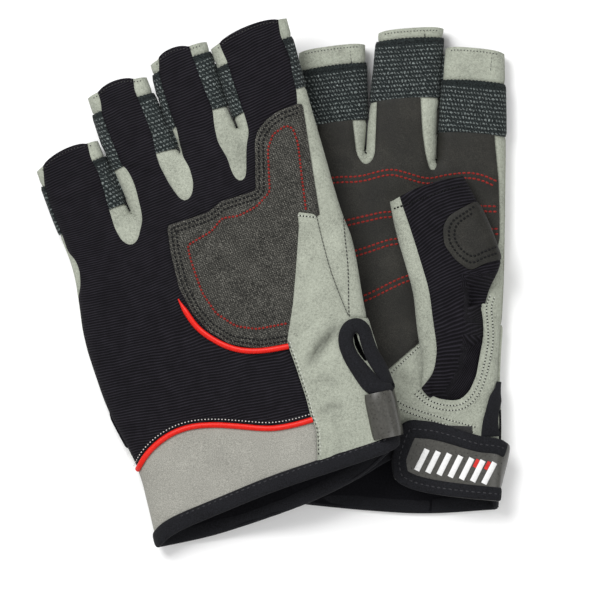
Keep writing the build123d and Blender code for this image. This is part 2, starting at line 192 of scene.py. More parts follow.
HEEL_ROWS = (
    ((47, -44), (50.7, -48.6), (64.6, -53.4), (81.8, -58.1)),
    ((46.4, -47.4), (50.3, -50.6), (64.2, -55.6), (81.4, -60.3)),
)

# ---- the thumbs, from root to tip
RIGHT_THUMB = {
    "sides": (((59.4, -42.4), (60.8, -34), (58.8, -24.2), (57.7, -17), (56.3, -3), (53.6, 6.2), (49, 21.4),
               (47, 32)),
              ((76.2, 42.4), (82, 32), (85.8, 24.4), (91.4, 10), (91.2, 6.6), (87, -1.7), (84.8, -9.6))),
    "root": ((85.6, -16.2), (85.8, -23), (84.5, -30), (83, -38), (80, -44.4), (76.2, -48.2), (72.4, -48.9),
             (66.8, -48.2), (62.6, -46.2)),
    "seam": ((56, -46), (60.2, -41.1), (64.5, -36.4), (66, -27.3), (64.2, -15.1), (62.7, -3), (58.1, 12.3),
             (54.2, 24.4), (51.1, 33), (49, 42), (40, 40), (40, -46)),
    "patch": ((81.6, 32.6), (74.9, 29), (70.4, 26.4), (68.2, 22), (68.6, 15), (73, 9), (79, 4.4), (85.2, 7.6),
              (93, 9.4), (96, 14)),
    "patch_rows": (((80.4, 30), (75.4, 26.6), (71.8, 24.4), (70.4, 20.8), (70.8, 15.8), (74.2, 11),
                    (79.4, 7.2), (85, 10), (90, 11.6)),
                   ((79.8, 27.4), (76.2, 25), (73.8, 23.2), (72.6, 20.2), (73, 16.6), (75.6, 12.8),
                    (79.8, 9.8), (85, 12.4), (89.4, 14))),
    "fold": ((75.6, 5), (77.3, -6), (77.6, -18.2), (76.1, -30.4), (72.6, -40), (70.4, -44)),
    "under": ((40, -60), (40, -27), (60, -25), (70, -16), (74, -2), (76, 4), (110, 4), (110, -60)),
    "floor": 13.6, "half": 3.7, "root_half": 1.0,
}
LEFT_THUMB = {
    "sides": (((20, -33), (-4, 40)), ((12, 44), (34, -30))),
    "root": (),
    "seam": ((12, -44), (26, -34), (2, 44), (-20, 50), (-12, -44)),
    "patch": ((17.5, 22), (9, 20), (10.5, 9), (20.5, 7), (26, 12)),
    "patch_rows": (((16, 20.2), (10.8, 18.6), (12, 10.6), (19.4, 9)),),
    "fold": None, "under": None,
    "floor": 13.3, "half": 2.0, "root_half": 2.0,
}
# ---- the strap, in millimetres in from the wrist's thumb edge and up along it
STRAP_LOW = (
    (-9, 2.0), (0, 2.5), (10, 3.0), (24, 4.2), (30, 5.1), (36, 6.8), (39.6, 8.8), (41.6, 11.6), (42.4, 16),
)
STRAP_HIGH = (
    (-9, 20.5), (-4, 25.4), (7.8, 28), (31, 32.8), (36, 32.6), (38.2, 31.4), (39.4, 29), (41.4, 22.5),
    (42.4, 18.5),
)
STRAP_ROWS = 15      # rows of points across the strap

# ---- how steeply the stretch cloth's ribs rise toward the thumb, by the distance up the hand or thumb
BACK_RIB_RISE = ((-130, 0.2), (-50, 0.2), (-30, 0.2), (0, 0.3), (25, 0.42), (60, 0.42), (110, 0.47))
BACK_RIB_BEND = ((-130, 0), (-40, 0), (-27, 0.001), (-8, 0.008), (2, 0.009), (16, 0.003), (30, 0), (110, 0))
THUMB_RIB_RISE = (
    (-60, 0.04), (-38, 0.05), (-31, 0.1), (-26, 0.22), (-15, 0.4), (1, 0.65), (12, 0.7), (24, 0.66),
    (36, 0.5), (46, 0.45),
)
POCKET_RIB_RISE = ((-60, 1.15), (-18, 1.15), (-8, 0.05), (20, 0.05))


# ---------------------------------------------------------------- lines and curves


def unit(v):
    """The vector made one long."""
    return v / max(np.hypot(*v), 1e-9)


def rounded(points, radius, closed=False, steps=5):
    """The line with its corners turned into short curves."""
    points = [np.array(p, float) for p in points]
    made = []
    for i, p in enumerate(points):
        if not closed and i in (0, len(points) - 1):
            made.append(p)
            continue
        a, b = points[i - 1] - p, points[(i + 1) % len(points)] - p
        start = p + a * min(radius / np.hypot(*a), 0.48)
        end = p + b * min(radius / np.hypot(*b), 0.48)
        for t in np.linspace(0, 1, steps + 1):
            made.append((1 - t) ** 2 * start + 2 * t * (1 - t) * p + t * t * end)
    return np.array(made)


def run_along(points):
    """The distance along the line at each of its points."""
    steps = np.diff(points, axis=0)
    lengths = np.hypot(*steps.T) if points.shape[1] == 2 else np.linalg.norm(steps, axis=1)
    return np.concatenate([[0], np.cumsum(lengths)])


def values_at(wanted, run, rows):
    """The rows of numbers at the wanted distances, from their own distances."""
    return np.column_stack([np.interp(wanted, run, column) for column in rows.T])


def resampled(points, step, closed=False):
    """Points at an even distance along the line."""
    points = np.array(points, float)
    if closed:
        points = np.vstack([points, points[:1]])
    run = run_along(points)
    count = max(int(round(run[-1] / step)), 1)
    return values_at(np.linspace(0, run[-1], count + 1)[:count if closed else count + 1], run, points)


def resampled3(points, step):
    """Rows of numbers taken at an even distance along the path that their first three columns make."""
    run = run_along(points[:, :3])
    return values_at(np.linspace(0, run[-1], int(run[-1] / step)), run, points)


def smoothed(points, radius, step=1.0):
    """The line with its corners rounded, as points at an even distance."""
    return resampled(rounded(points, radius), step)


def beside(points, distance):
    """The line moved sideways, to its left."""
    points = np.array(points, float)
    ahead = np.gradient(points, axis=0)
    ahead /= np.linalg.norm(ahead, axis=1)[:, None]
    return points + distance * np.column_stack([-ahead[:, 1], ahead[:, 0]])


def nearest(points, starts, ends):
    """Each point's distance to the nearest of the segments, the place there and the segment's number."""
    best = np.full(len(points), 1e9)
    foot = np.zeros((len(points), 2))
    which = np.zeros(len(points), int)
    run = ends - starts
    square = np.maximum((run ** 2).sum(1), 1e-12)
    for i in range(len(starts)):
        t = np.clip(((points - starts[i]) @ run[i]) / square[i], 0, 1)
        q = starts[i] + t[:, None] * run[i]
        d = np.hypot(*(points - q).T)
        closer = d < best
        best[closer], foot[closer], which[closer] = d[closer], q[closer], i
    return best, foot, which


def inside(points, polygon):
    """Which points lie inside the polygon."""
    polygon = np.array(polygon, float)
    result = np.zeros(len(points), bool)
    x, y = points.T
    for (ax, ay), (bx, by) in zip(polygon, np.roll(polygon, -1, axis=0)):
        if ay == by:
            continue
        crosses = (ay > y) != (by > y)
        result ^= crosses & (x < ax + (y - ay) * (bx - ax) / (by - ay))
    return result


def blend_line(values, knots):
    """A smooth curve through the knots, with the slope at each knot taken from its neighbours."""
    xs, ys = np.array(knots, float).T
    slopes = np.gradient(ys, xs)
    i = np.clip(np.searchsorted(xs, values) - 1, 0, len(xs) - 2)
    width = xs[i + 1] - xs[i]
    t = np.clip((values - xs[i]) / width, 0, 1)
    return ((1 + 2 * t) * (1 - t) ** 2 * ys[i] + t * (1 - t) ** 2 * width * slopes[i]
            + t * t * (3 - 2 * t) * ys[i + 1] + t * t * (t - 1) * width * slopes[i + 1])


def bumps(points, scale, seed):
    """Smooth random heights from -1 to 1 over the plan, as large as scale."""
    return np.array([noise.noise(Vector((x / scale, y / scale, seed))) for x, y in points])


def smoothstep(t):
    """A smooth step from 0 to 1 as t goes from 0 to 1."""
    t = np.clip(t, 0, 1)
    return t * t * (3 - 2 * t)


class Warp:
    """A smooth map of the plan that takes one set of landmarks to another, a thin-plate spline."""

    def __init__(self, source, target):
        self.source = np.array(source, float)
        n = len(source)
        system = np.zeros((n + 3, n + 3))
        system[:n, :n] = self.kernel(self.source)
        system[:n, n:] = np.column_stack([np.ones(n), self.source])
        system[n:, :n] = system[:n, n:].T
        self.weights = np.linalg.solve(system, np.vstack([np.array(target, float), np.zeros((3, 2))]))

    def kernel(self, points):
        square = ((points[:, None] - self.source[None]) ** 2).sum(2)
        return square * np.log(square + 1e-9)

    def __call__(self, points):
        points = np.array(points, float)
        basis = np.column_stack([self.kernel(points), np.ones(len(points)), points])
        return basis @ self.weights


class Shell:
    """A flat fabric tube: two faces that meet along rounded sides. The side lines have the inside on their
    right."""

    def __init__(self, flanks, reach, middle, half, crown, edge):
        self.middle, self.half, self.crown, self.edge = middle, half, crown, edge
        starts, ends = [], []
        for line in flanks:
            first = line[0] + unit(line[0] - line[1]) * reach
            last = line[-1] + unit(line[-1] - line[-2]) * reach
            points = np.vstack([first, line, last])
            starts.append(points[:-1])
            ends.append(points[1:])
        self.starts, self.ends = np.vstack(starts), np.vstack(ends)
        run = self.ends - self.starts
        self.inward = np.column_stack([run[:, 1], -run[:, 0]]) / np.linalg.norm(run, axis=1)[:, None]

    def surface(self, points, side):
        """The face's points, outward normals and distances from the side seams."""
        gap, foot, which = nearest(points, self.starts, self.ends)
        toward = np.where((gap > 0.3)[:, None], (points - foot) / np.maximum(gap, 1e-6)[:, None],
                          self.inward[which])
        cos = 1 - np.clip(gap / self.edge, 0, 1)
        sin = np.sqrt(1 - cos ** 2)
        full = self.crown[side] * (1 - np.exp(-np.maximum(gap - self.edge, 0) / 12))
        height = self.middle(points) + side * (self.half(points) * sin + full)
        normals = np.column_stack([-toward * cos[:, None], side * sin])
        return np.column_stack([points, height]), normals, gap

    def past_edge(self, gap):
        """How much further the cloth runs than its plan does, where it goes down round the side."""
        angle = np.arccos(1 - np.clip(gap / self.edge, 0, 1))
        return 5.3 * (np.pi / 2 - angle) - np.maximum(self.edge - gap, 0)


class Glove:
    """One glove: its plan, its fabric tube and its place in the row frame."""

    def __init__(self, name, hand, over):
        self.name, self.hand, self.over = name, hand, over
        self.across = unit(np.array(hand["knuckles"][1]) - np.array(hand["knuckles"][0]))
        self.ahead = np.array((-self.across[1], self.across[0]))
        tips = hand["tips"]
        little = rounded([hand["wrist"][0], *hand["little_edge"], *hand["pinky_side"], tips[0][0]], 8)
        thumb = rounded([tips[3][1], *hand["thumb_edge"], hand["wrist"][1]], 14)
        gaps = []
        for i, (slit, closed) in enumerate(zip(hand["slits"], hand["closed"])):
            wide, narrow = self.across * 0.45, self.across * 0.22
            line = [tips[i][1], closed - narrow, slit - wide, slit + wide, closed + narrow, tips[i + 1][0]]
            gaps.append(rounded(line, 1.5))
        self.flanks = [resampled(line, 1.5) for line in (little, *gaps, thumb)]
        flat = np.array([MID])
        crown = {PALM: CROWN, BACK: CROWN if over else 0.3}
        self.shell = Shell(self.flanks, 25, lambda p: flat, lambda p: HALF, crown, EDGE)
        self.relief = wrinkles(self)

    def tip(self, index):
        """The two corners of a finger's cut end."""
        return (np.array(p, float) for p in self.hand["tips"][index])

    def tip_line(self, index, side):
        """A finger's cut end without its corners: the back's stretch cloth bulges past the suede tabs."""
        left, right = self.tip(index)
        t = np.linspace(0, 1, 24)[1:-1, None]
        out = unit(np.array([left[1] - right[1], right[0] - left[0]]))
        made = 0.8 * (1 - (2 * t - 1) ** 6) + 0.4 * (1 - (2 * t - 1) ** 2)
        if side == BACK and not self.over:
            made = made - 0.4
        elif side == BACK:
            low, high = self.hand["back_on_tip"][index]
            share = np.clip((t - low) / (high - low), 0, 1)
            made = made + 1.9 * (1 - (2 * share - 1) ** 2) ** 0.7
        return left + (right - left) * t + out * made

    def wrist_line(self, side):
        """The cut end at the wrist, from the thumb side to the little-finger side, without its corners."""
        ends = self.hand["wrist"]
        return smoothed([ends[1], *self.hand["wrist_edge"][side], ends[0]], 12, 1.5)[1:-1]

    def outline(self, side):
        """The whole edge of one side, finger by finger and back along the wrist."""
        parts = []
        for index in range(4):
            parts += [self.flanks[index], self.tip_line(index, side)]
        return np.vstack([*parts, self.flanks[4], self.wrist_line(side)])

    def finger_band(self, index, near, far):
        """A strip round a finger between two distances from its tip, scalloped on the side toward it."""
        left, right = self.tip(index)
        tip_across = unit(right - left)
        out = np.array((-tip_across[1], tip_across[0]))
        roots = [self.hand["little_edge"][-1], *self.hand["slits"], self.hand["thumb_edge"][0]]
        ends = []
        sides = ((left, roots[index], index - 1), (right, roots[index + 1], index + 1))
        for corner, root, neighbour in sides:
            if 0 <= neighbour < 4:
                beside_tip = np.array(self.hand["tips"][neighbour][1 if neighbour < index else 0], float)
                top = (corner + beside_tip) / 2
                down = unit(np.array(root, float) - top)
                top = top + down * (np.dot(corner - top, out) / np.dot(down, out))
            else:
                margin = tip_across * (5 if neighbour == 4 else -5)
                top = corner + margin
                down = unit(np.array(root, float) + margin - top)
            ends.append((top, down))
        lines = []
        for distance in (near, far):
            a, b = (top + down * distance for top, down in ends)
            t = np.linspace(0, 1, max(int(np.hypot(*(b - a)) / 0.7), 4))[:, None]
            line = a + (b - a) * t + out * (1.1 * (1 - (2 * t - 1) ** 2) - 0.4)
            lines.append(line)
        lines[0][1::2] += out * 0.35
        sides = [resampled([lines[0][i], lines[1][i]], 1.2)[1:-1] for i in (-1, 0)]
        return np.vstack([lines[0], sides[0], lines[1][::-1], sides[1][::-1]])

    def strap_point(self, inward, up):
        """The plan's point that lies inward from the wrist's thumb edge and up along it."""
        corner = np.array(self.hand["wrist"][1], float)
        along = unit(np.array(self.hand["thumb_edge"][-1]) - corner)
        left = np.array((-along[1], along[0]))
        return corner + np.multiply.outer(up, along) + np.multiply.outer(inward, left)

    def world(self, points):
        """Points of the glove lying palm up, put in the row frame in metres."""
        placed = np.array(points, float)
        if self.over:
            away = (placed[:, :2] - REST_FROM) @ REST_ACROSS
            placed[:, 2] = TURNED_ABOUT - placed[:, 2] + blend_line(away, REST_LINE)
        return (placed + PLAN_TO_ROW) / 1000


class Skin:
    """One side of a shell, cut into triangles along its outline and its seams. Each triangle has the label of
    the first region that holds it."""

    def __init__(self, shell, side, border, regions, otherwise, step=2.0, relief=None):
        self.shell, self.side = shell, side
        seams = [np.array(polygon) if label.startswith("wrap") else resampled(polygon, 1.4, True)
                 for label, polygon in regions]
        corners, edges = [], []
        for line in [border, *seams]:
            first = len(corners)
            corners += [tuple(p) for p in line]
            edges += [(first + i, first + (i + 1) % len(line)) for i in range(len(line))]
        extra = self.filling(border, seams, step)
        made = delaunay_2d_cdt([Vector(p) for p in corners + extra], edges, [], 0, 1e-3)
        self.plan = np.array([tuple(v) for v in made[0]])
        faces = np.array(made[2], int)
        a, b = (self.plan[faces[:, k]] - self.plan[faces[:, 0]] for k in (1, 2))
        area = a[:, 0] * b[:, 1] - a[:, 1] * b[:, 0]
        middles = self.plan[faces].mean(1)
        keep = inside(middles, border) & (np.abs(area) > 1e-4)
        self.faces = np.where(area[:, None] > 0, faces, faces[:, ::-1])[keep]
        middles = middles[keep]
        self.labels = np.full(len(self.faces), otherwise, dtype=object)
        for label, polygon in reversed(regions):
            self.labels[inside(middles, polygon)] = label
        self.points, self.normals, self.gap = shell.surface(self.plan, side)
        self.seam = self.seam_distance()
        self.relief = np.zeros(len(self.plan)) if relief is None else relief(self.plan, side, self.gap)

    def filling(self, border, seams, step):
        """Points inside the outline: rows beside the seams, rows along the rounded sides and an even grid."""
        rows = [beside(line, distance) for line in seams for distance in (-1.6, -0.7, 0.7, 1.6)]
        gap, _, which = nearest(border, self.shell.starts, self.shell.ends)
        on_side = gap < 0.02
        for share in (0.04, 0.14, 0.3, 0.52, 0.78, 1.0):
            rows.append(border[on_side] + self.shell.inward[which[on_side]] * self.shell.edge * share)
        low, high = border.min(0), border.max(0)
        xs, ys = np.meshgrid(np.arange(low[0], high[0], step), np.arange(low[1], high[1], step * 0.87))
        xs[::2] += step / 2
        grid = np.column_stack([xs.ravel(), ys.ravel()])
        rows = np.vstack(rows)
        found = np.vstack([rows, grid])
        loose = np.arange(len(found)) >= len(rows)
        to_border = nearest(found, border, np.roll(border, -1, axis=0))[0]
        to_side = nearest(found, self.shell.starts, self.shell.ends)[0]
        good = inside(found, border) & (to_border > 0.18)
        good &= ~loose | ((to_side > self.shell.edge * 1.05) & (to_border > step * 0.5))
        if seams:
            seam_ends = np.vstack([np.roll(line, -1, axis=0) for line in seams])
            to_seam = nearest(found, np.vstack(seams), seam_ends)[0]
            good &= to_seam > np.where(loose, 2.4, 0.35)
        taken, kept = set(), []
        for point in found[good]:
            cell = (round(point[0] / 0.45), round(point[1] / 0.45))
            if cell not in taken:
                taken.add(cell)
                kept.append(tuple(point))
        return kept

    def seam_distance(self):
        """How far each point is from the nearest line where two labels meet."""
        owner, lines = {}, []
        for face, label in zip(self.faces, self.labels):
            for a, b in zip(face, np.roll(face, -1)):
                key = (min(a, b), max(a, b))
                if key in owner and owner[key] != label:
                    lines.append(key)
                owner[key] = label
        if not lines:
            return np.full(len(self.plan), 99.0)
        lines = np.array(lines)
        return nearest(self.plan, self.plan[lines[:, 0]], self.plan[lines[:, 1]])[0]


def landmarks(hand):
    """The places that both plans name, in one order."""
    tips = [p for pair in hand["tips"] for p in pair]
    thumb_edge = hand["thumb_edge"]
    return [*hand["wrist"], *hand["slits"], thumb_edge[0], thumb_edge[-1], *tips, *hand["knuckles"]]


# ---------------------------------------------------------------- meshes


def straight_lay(across, shell, start=0.0):
    """Cloth coordinates with the weave running along the direction given, round the rounded sides as well."""
    across = np.array(across)
    ahead = np.array((-across[1], across[0]))

    def lay(points, normals, gap):
        past = shell.past_edge(gap) * np.sign(normals[:, :2] @ across)
        return points[:, :2] @ across + past, points[:, :2] @ ahead - start

    return lay


def back_lay(glove, to_left_plan):
    """Cloth coordinates for the back's ribs: they rise toward the thumb, more steeply on the fingers."""

    def lay(points, normals, gap):
        plan = to_left_plan(points[:, :2])
        x, y = plan.T
        bend = np.minimum(x + 61, 35)
        rise = blend_line(y, BACK_RIB_RISE) * (x + 40) + blend_line(y, BACK_RIB_BEND) * bend ** 2 / 2
        past = glove.shell.past_edge(gap)
        return x + past * np.sign(normals[:, 0]), y - rise

    return lay


def thumb_lay(plan):
    """Cloth coordinates for the thumb's wider ribs: they turn at the fold and run steeply in the pocket."""
    fold = smoothed(plan["fold"], 8)
    height_share = 0.78

    def lay(points, normals, gap):
        x, y = points[:, 0], points[:, 1]
        bend = 0.009 * smoothstep((y + 8) / 16)
        rise = blend_line(y, THUMB_RIB_RISE) * (x - 66) - bend * (x - 60) ** 2
        foot = nearest(points[:, :2], fold[:-1], fold[1:])[1]
        pocket = (x > foot[:, 0]) & (y < 3)
        rise = np.where(pocket, blend_line(y, POCKET_RIB_RISE) * (x - 81), rise)
        return x, (y - rise) * height_share

    return lay


def add_object(name, vertices, faces, material, rest=None, cloth=None, inner=None, lining=None):
    """A mesh object in the row frame, with its resting place and cloth coordinates for the materials."""
    mesh = bpy.data.meshes.new(name)
    mesh.from_pydata([tuple(v) for v in vertices], [], [tuple(int(i) for i in f) for f in faces])
    mesh.validate()
    for key, values in (("rest", rest), ("cloth", cloth)):
        if values is not None:
            attribute = mesh.attributes.new(key, "FLOAT_VECTOR", "POINT")
            attribute.data.foreach_set("vector", np.array(values, np.float32).ravel())
    mesh.materials.append(material)
    if lining is not None:
        mesh.materials.append(lining)
        numbers = np.zeros(len(mesh.polygons), np.int32)
        numbers[inner] = 1
        mesh.polygons.foreach_set("material_index", numbers)
    mesh.shade_smooth()
    mesh.set_sharp_from_angle(angle=1.0)
    made = bpy.data.objects.new(name, mesh)
    bpy.context.scene.collection.objects.link(made)
    return made


def finish_piece(made, body, slot=None, nodes=()):
    """Puts a piece on its body, or, when given a pair of bodies to blend between, only bakes its transform
    where it is, and hides the CAD nodes it stands for. The slot is not used.
    """
    if isinstance(body, tuple):
        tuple(body[2])
        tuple(body[3])
        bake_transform(made)
    else:
        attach(made, body)
    if nodes:
        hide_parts(*nodes)


def panel(glove, name, parts, material, lift=0.0, thick=CLOTH, lining=None, lay=None):
    """A sewn piece of cloth with its thickness, from the triangles that have its label."""
    outer, normals, raised, gaps, keys, faces = [], [], [], [], {}, []
    for skin, label in parts:
        numbers = {}
        chosen = skin.faces[skin.labels == label]
        for i in np.unique(chosen):
            x, y = skin.plan[i]
            key = (round(x, 2), round(y, 2), 0 if skin.gap[i] < 0.02 else skin.side)
            if key not in keys:
                keys[key] = len(outer)
                outer.append(skin.points[i])
                normals.append(skin.normals[i])
                gaps.append(skin.gap[i])
                raised.append(lift + skin.relief[i] - SEAM_GROOVE * np.exp(-(skin.seam[i] / 0.75) ** 2))
            numbers[i] = keys[key]
        flip = (skin.side == BACK) != glove.over
        for face in chosen:
            corners = [numbers[i] for i in face]
            if len(set(corners)) == 3:
                faces.append(corners[::-1] if flip else corners)
    outer, normals, raised, gaps = (np.array(values) for values in (outer, normals, raised, gaps))
    shown = outer + normals * raised[:, None]
    hidden = outer + normals * (raised - thick)[:, None]
    count = len(outer)
    open_edges = {}
    for face in faces:
        for a, b in zip(face, face[1:] + face[:1]):
            if (b, a) in open_edges:
                del open_edges[(b, a)]
            else:
                open_edges[(a, b)] = True
    rims = [(b, a, a + count, b + count) for a, b in open_edges]
    rims.sort(key=lambda rim: outer[rim[0]][1] > WRIST_ZONE)
    at_wrist = sum(outer[rim[0]][1] <= WRIST_ZONE for rim in rims)
    inner = [tuple(i + count for i in reversed(face)) for face in faces]
    every = np.vstack([shown, hidden])
    lay = lay or straight_lay(glove.across, glove.shell)
    across, along = lay(outer, normals, gaps)
    # The third cloth coordinate is the relief depth; the suede uses it to paint shade into its creases and
    # seam grooves.
    cloth = np.column_stack([across, along, raised - lift])
    number = np.arange(len(faces), len(faces) + len(inner) + at_wrist)
    return add_object(f"{glove.name}_{name}", glove.world(every), [*faces, *inner, *rims], material, every,
                      np.vstack([cloth, cloth]), inner=number, lining=lining)


def tube_faces(rings, sides, closed=False, first=0):
    """The faces of a tube of rings of points, with its ends closed unless it is a loop."""
    faces = []
    for i in range(rings if closed else rings - 1):
        here, there = first + i * sides, first + (i + 1) % rings * sides
        for k in range(sides):
            m = (k + 1) % sides
            faces.append((here + k, here + m, there + m, there + k))
    if not closed:
        faces.append(tuple(first + k for k in range(sides))[::-1])
        faces.append(tuple(first + (rings - 1) * sides + k for k in range(sides)))
    return faces


def sweep(glove, name, path, ups, half_width, half_height, material, closed=False, sides=12, power=2.6):
    """A strip or cord along a path: an oval section, with its height along ups and its ends closed."""
    path, ups = np.array(path, float), np.array(ups, float)
    count = len(path)
    widths = np.broadcast_to(half_width, count)
    heights = np.broadcast_to(half_height, count)
    ahead = np.gradient(path, axis=0)
    if closed:
        ahead = np.roll(path, -1, axis=0) - np.roll(path, 1, axis=0)
    ahead /= np.linalg.norm(ahead, axis=1)[:, None]
    wide = np.cross(ahead, ups)
    wide /= np.linalg.norm(wide, axis=1)[:, None]
    up = np.cross(wide, ahead)
    angles = np.linspace(0, 2 * np.pi, sides, endpoint=False)
    cos, sin = np.cos(angles), np.sin(angles)
    a = np.sign(cos) * np.abs(cos) ** (2 / power)
    b = np.sign(sin) * np.abs(sin) ** (2 / power)
    rings = (path[:, None] + wide[:, None] * (a[None, :, None] * widths[:, None, None])
             + up[:, None] * (b[None, :, None] * heights[:, None, None]))
    vertices = rings.reshape(-1, 3)
    faces = tube_faces(count, sides, closed)
    if not glove.over:
        faces = [face[::-1] for face in faces]
    run = run_along(path)
    cloth = np.column_stack([np.tile(a, count) * np.repeat(widths, sides), np.repeat(run, sides),
                             np.tile(b, count)])
    return add_object(f"{glove.name}_{name}", glove.world(vertices), faces, material, vertices, cloth)


def make_strip(glove, paints, name, slot, path, ups, half_width, half_height, body=None, stands_for=True,
               **form):
    """A swept piece on its body, in the place of the CAD node of the same name where there is one."""
    made = sweep(glove, name, path, ups, half_width, half_height, paints[slot], **form)
    nodes = [f"{glove.name}_{name}"] if stands_for else []
    finish_piece(made, body or f"{glove.name}_glove", slot, nodes)


def dashes(glove, name, rows, material, radius, body=None):
    """Every stitch of some rows of stitching, as one piece. A row is its points, its normals, the pitch, the
    share of the pitch that shows as thread and where in the pitch it starts."""
    vertices, faces = [], []
    spots = ((0.0, 0.35), (0.14, 0.85), (0.5, 1.0), (0.86, 0.85), (1.0, 0.35))
    ring = np.arange(5) * 2 * np.pi / 5
    for points, normals, pitch, share, offset in rows:
        run = run_along(points)
        starts = np.arange(offset * pitch, run[-1] - pitch * share, pitch)
        heads = values_at(starts, run, points)
        tails = values_at(starts + pitch * share, run, points)
        ups = values_at(starts, run, normals)
        for head, tail, up in zip(heads, tails, ups):
            ahead = (tail - head) / max(np.linalg.norm(tail - head), 1e-6)
            wide = np.cross(ahead, up)
            wide /= np.linalg.norm(wide)
            up = np.cross(wide, ahead)
            first = len(vertices)
            for t, size in spots:
                for angle in ring:
                    off = wide * np.cos(angle) + up * np.sin(angle) * 0.8
                    vertices.append(head + (tail - head) * t + off * radius * size)
            faces += tube_faces(len(spots), len(ring), first=first)
    if not glove.over:
        faces = [face[::-1] for face in faces]
    vertices = np.array(vertices)
    made = add_object(f"{glove.name}_{name}", glove.world(vertices), faces, material, vertices, vertices)
    finish_piece(made, body or f"{glove.name}_glove")


def on_skin(glove, points, side, lift, tube=None):
    """A plan line laid on the glove: its points and normals."""
    line = resampled(points, 0.8)
    shell, relief = (tube.shell, tube.relief) if tube else (glove.shell, glove.relief)
    found, normals, gap = shell.surface(line, side)
    return found + normals * (lift + relief(line, side, gap))[:, None], normals


def stitched(glove, lines, side, lift, pitch, share, offset=0.1, tube=None):
    """Rows for dashes, from plan lines laid on the glove."""
    return [(*on_skin(glove, line, side, lift, tube), pitch, share, offset) for line in lines]


# ---------------------------------------------------------------- materials


class Paint:
    """A material made of nodes, with short calls for the nodes that the cloths use."""

    def __init__(self, name, roughness=0.8, sheen=0.0, coat=0.0, specular=0.5):
        self.material = bpy.data.materials.new(name)
        self.material.use_nodes = True
        self.tree = self.material.node_tree
        self.shader = self.tree.nodes["Principled BSDF"]
        self.shader.inputs["Roughness"].default_value = roughness
        self.shader.inputs["Sheen Weight"].default_value = sheen
        self.shader.inputs["Sheen Roughness"].default_value = 0.5
        self.shader.inputs["Coat Weight"].default_value = coat
        self.shader.inputs["Coat Roughness"].default_value = 0.25
        self.shader.inputs["Specular IOR Level"].default_value = specular

    def node(self, kind, **settings):
        made = self.tree.nodes.new(kind)
        for key, value in settings.items():
            setattr(made, key, value)
        return made

    def plug(self, socket, value):
        if hasattr(value, "is_output"):
            self.tree.links.new(value, socket)
        else:
            socket.default_value = value

    def attribute(self, name):
        return self.node("ShaderNodeAttribute", attribute_name=name).outputs["Vector"]

    def split(self, vector):
        made = self.node("ShaderNodeSeparateXYZ")
        self.plug(made.inputs[0], vector)
        return made.outputs

    def math(self, operation, a, b=0.0):
        made = self.node("ShaderNodeMath", operation=operation)
        self.plug(made.inputs[0], a)
        self.plug(made.inputs[1], b)
        return made.outputs[0]

    def noise(self, scale, detail=2.0, roughness=0.5):
        made = self.node("ShaderNodeTexNoise")
        self.plug(made.inputs["Vector"], self.attribute("rest"))
        self.plug(made.inputs["Scale"], scale)
        self.plug(made.inputs["Detail"], detail)
        self.plug(made.inputs["Roughness"], roughness)
        return made.outputs["Fac"]

    def spots(self, scale):
        made = self.node("ShaderNodeTexVoronoi")
        self.plug(made.inputs["Vector"], self.attribute("rest"))
        self.plug(made.inputs["Scale"], scale)
        return made.outputs["Distance"]

    def ramp(self, value, *stops):
        """Colours or greys by value: each stop is a position and a colour."""
        made = self.node("ShaderNodeValToRGB")
        elements = made.color_ramp.elements
        while len(elements) < len(stops):
            elements.new(0.5)
        for element, (position, colour) in zip(elements, stops):
            element.position = position
            element.color = (*colour, 1) if hasattr(colour, "__len__") else (colour, colour, colour, 1)
        self.plug(made.inputs[0], value)
        return made.outputs[0]

    def mix(self, factor, a, b, blend="MIX"):
        made = self.node("ShaderNodeMix", data_type="RGBA", blend_type=blend)
        self.plug(made.inputs[0], factor)
        self.plug(made.inputs[6], (*a, 1) if isinstance(a, tuple) else a)
        self.plug(made.inputs[7], (*b, 1) if isinstance(b, tuple) else b)
        return made.outputs[2]

    def bump(self, height, strength, distance):
        made = self.node("ShaderNodeBump")
        self.plug(made.inputs["Strength"], strength)
        self.plug(made.inputs["Distance"], distance)
        self.plug(made.inputs["Height"], height)
        return made.outputs[0]

    def finish(self, colour, normal=None, roughness=None):
        self.plug(self.shader.inputs["Base Color"], colour)
        if normal is not None:
            self.plug(self.shader.inputs["Normal"], normal)
        if roughness is not None:
            self.plug(self.shader.inputs["Roughness"], roughness)
        return self.material

    def wave(self, position, pitch):
        """A sine from 0 to 1 that repeats every pitch."""
        turns = self.math("MULTIPLY", position, 2 * np.pi / pitch)
        return self.math("ADD", self.math("MULTIPLY", self.math("SINE", turns), 0.5), 0.5)


def ribbed_cloth(name):
    """Black stretch cloth with raised ribs across the hand and fine knitted loops along each rib; each rib's
    top is painted lighter and its groove darker, a painted highlight and shade.
    """
    paint = Paint(name, roughness=0.85, sheen=0.02, specular=0.1)
    rib_pitch, loop_pitch = 1.12, 0.62
    across, along, _ = paint.split(paint.attribute("cloth"))
    drift = paint.math("MULTIPLY", paint.math("SUBTRACT", paint.noise(0.06, 2.0), 0.5), 2.2)
    ribs = paint.wave(paint.math("ADD", along, drift), rib_pitch)
    loops = paint.wave(across, loop_pitch)
    fuzz = paint.noise(2.2, 3.0)
    height = paint.math("ADD", ribs, paint.math("MULTIPLY", loops, 0.22))
    height = paint.math("ADD", height, paint.math("MULTIPLY", fuzz, 0.25))
    # Painted highlight and shade: the rib wave makes each rib's top lighter and its groove darker in the
    # colour.
    tone = paint.math("ADD", paint.math("MULTIPLY", ribs, 0.5), paint.math("MULTIPLY", fuzz, 0.3))
    tone = paint.math("ADD", tone, paint.math("MULTIPLY", paint.noise(0.25, 3.0), 0.3))
    colour = paint.ramp(tone, (0.25, (0.0022, 0.002, 0.0028)), (0.62, (0.007, 0.006, 0.0085)),
                        (0.95, (0.026, 0.024, 0.031)))
    rough = paint.ramp(fuzz, (0.3, 0.78), (0.7, 0.95))
    return paint.finish(colour, paint.bump(height, 0.7, 0.0004), rough)


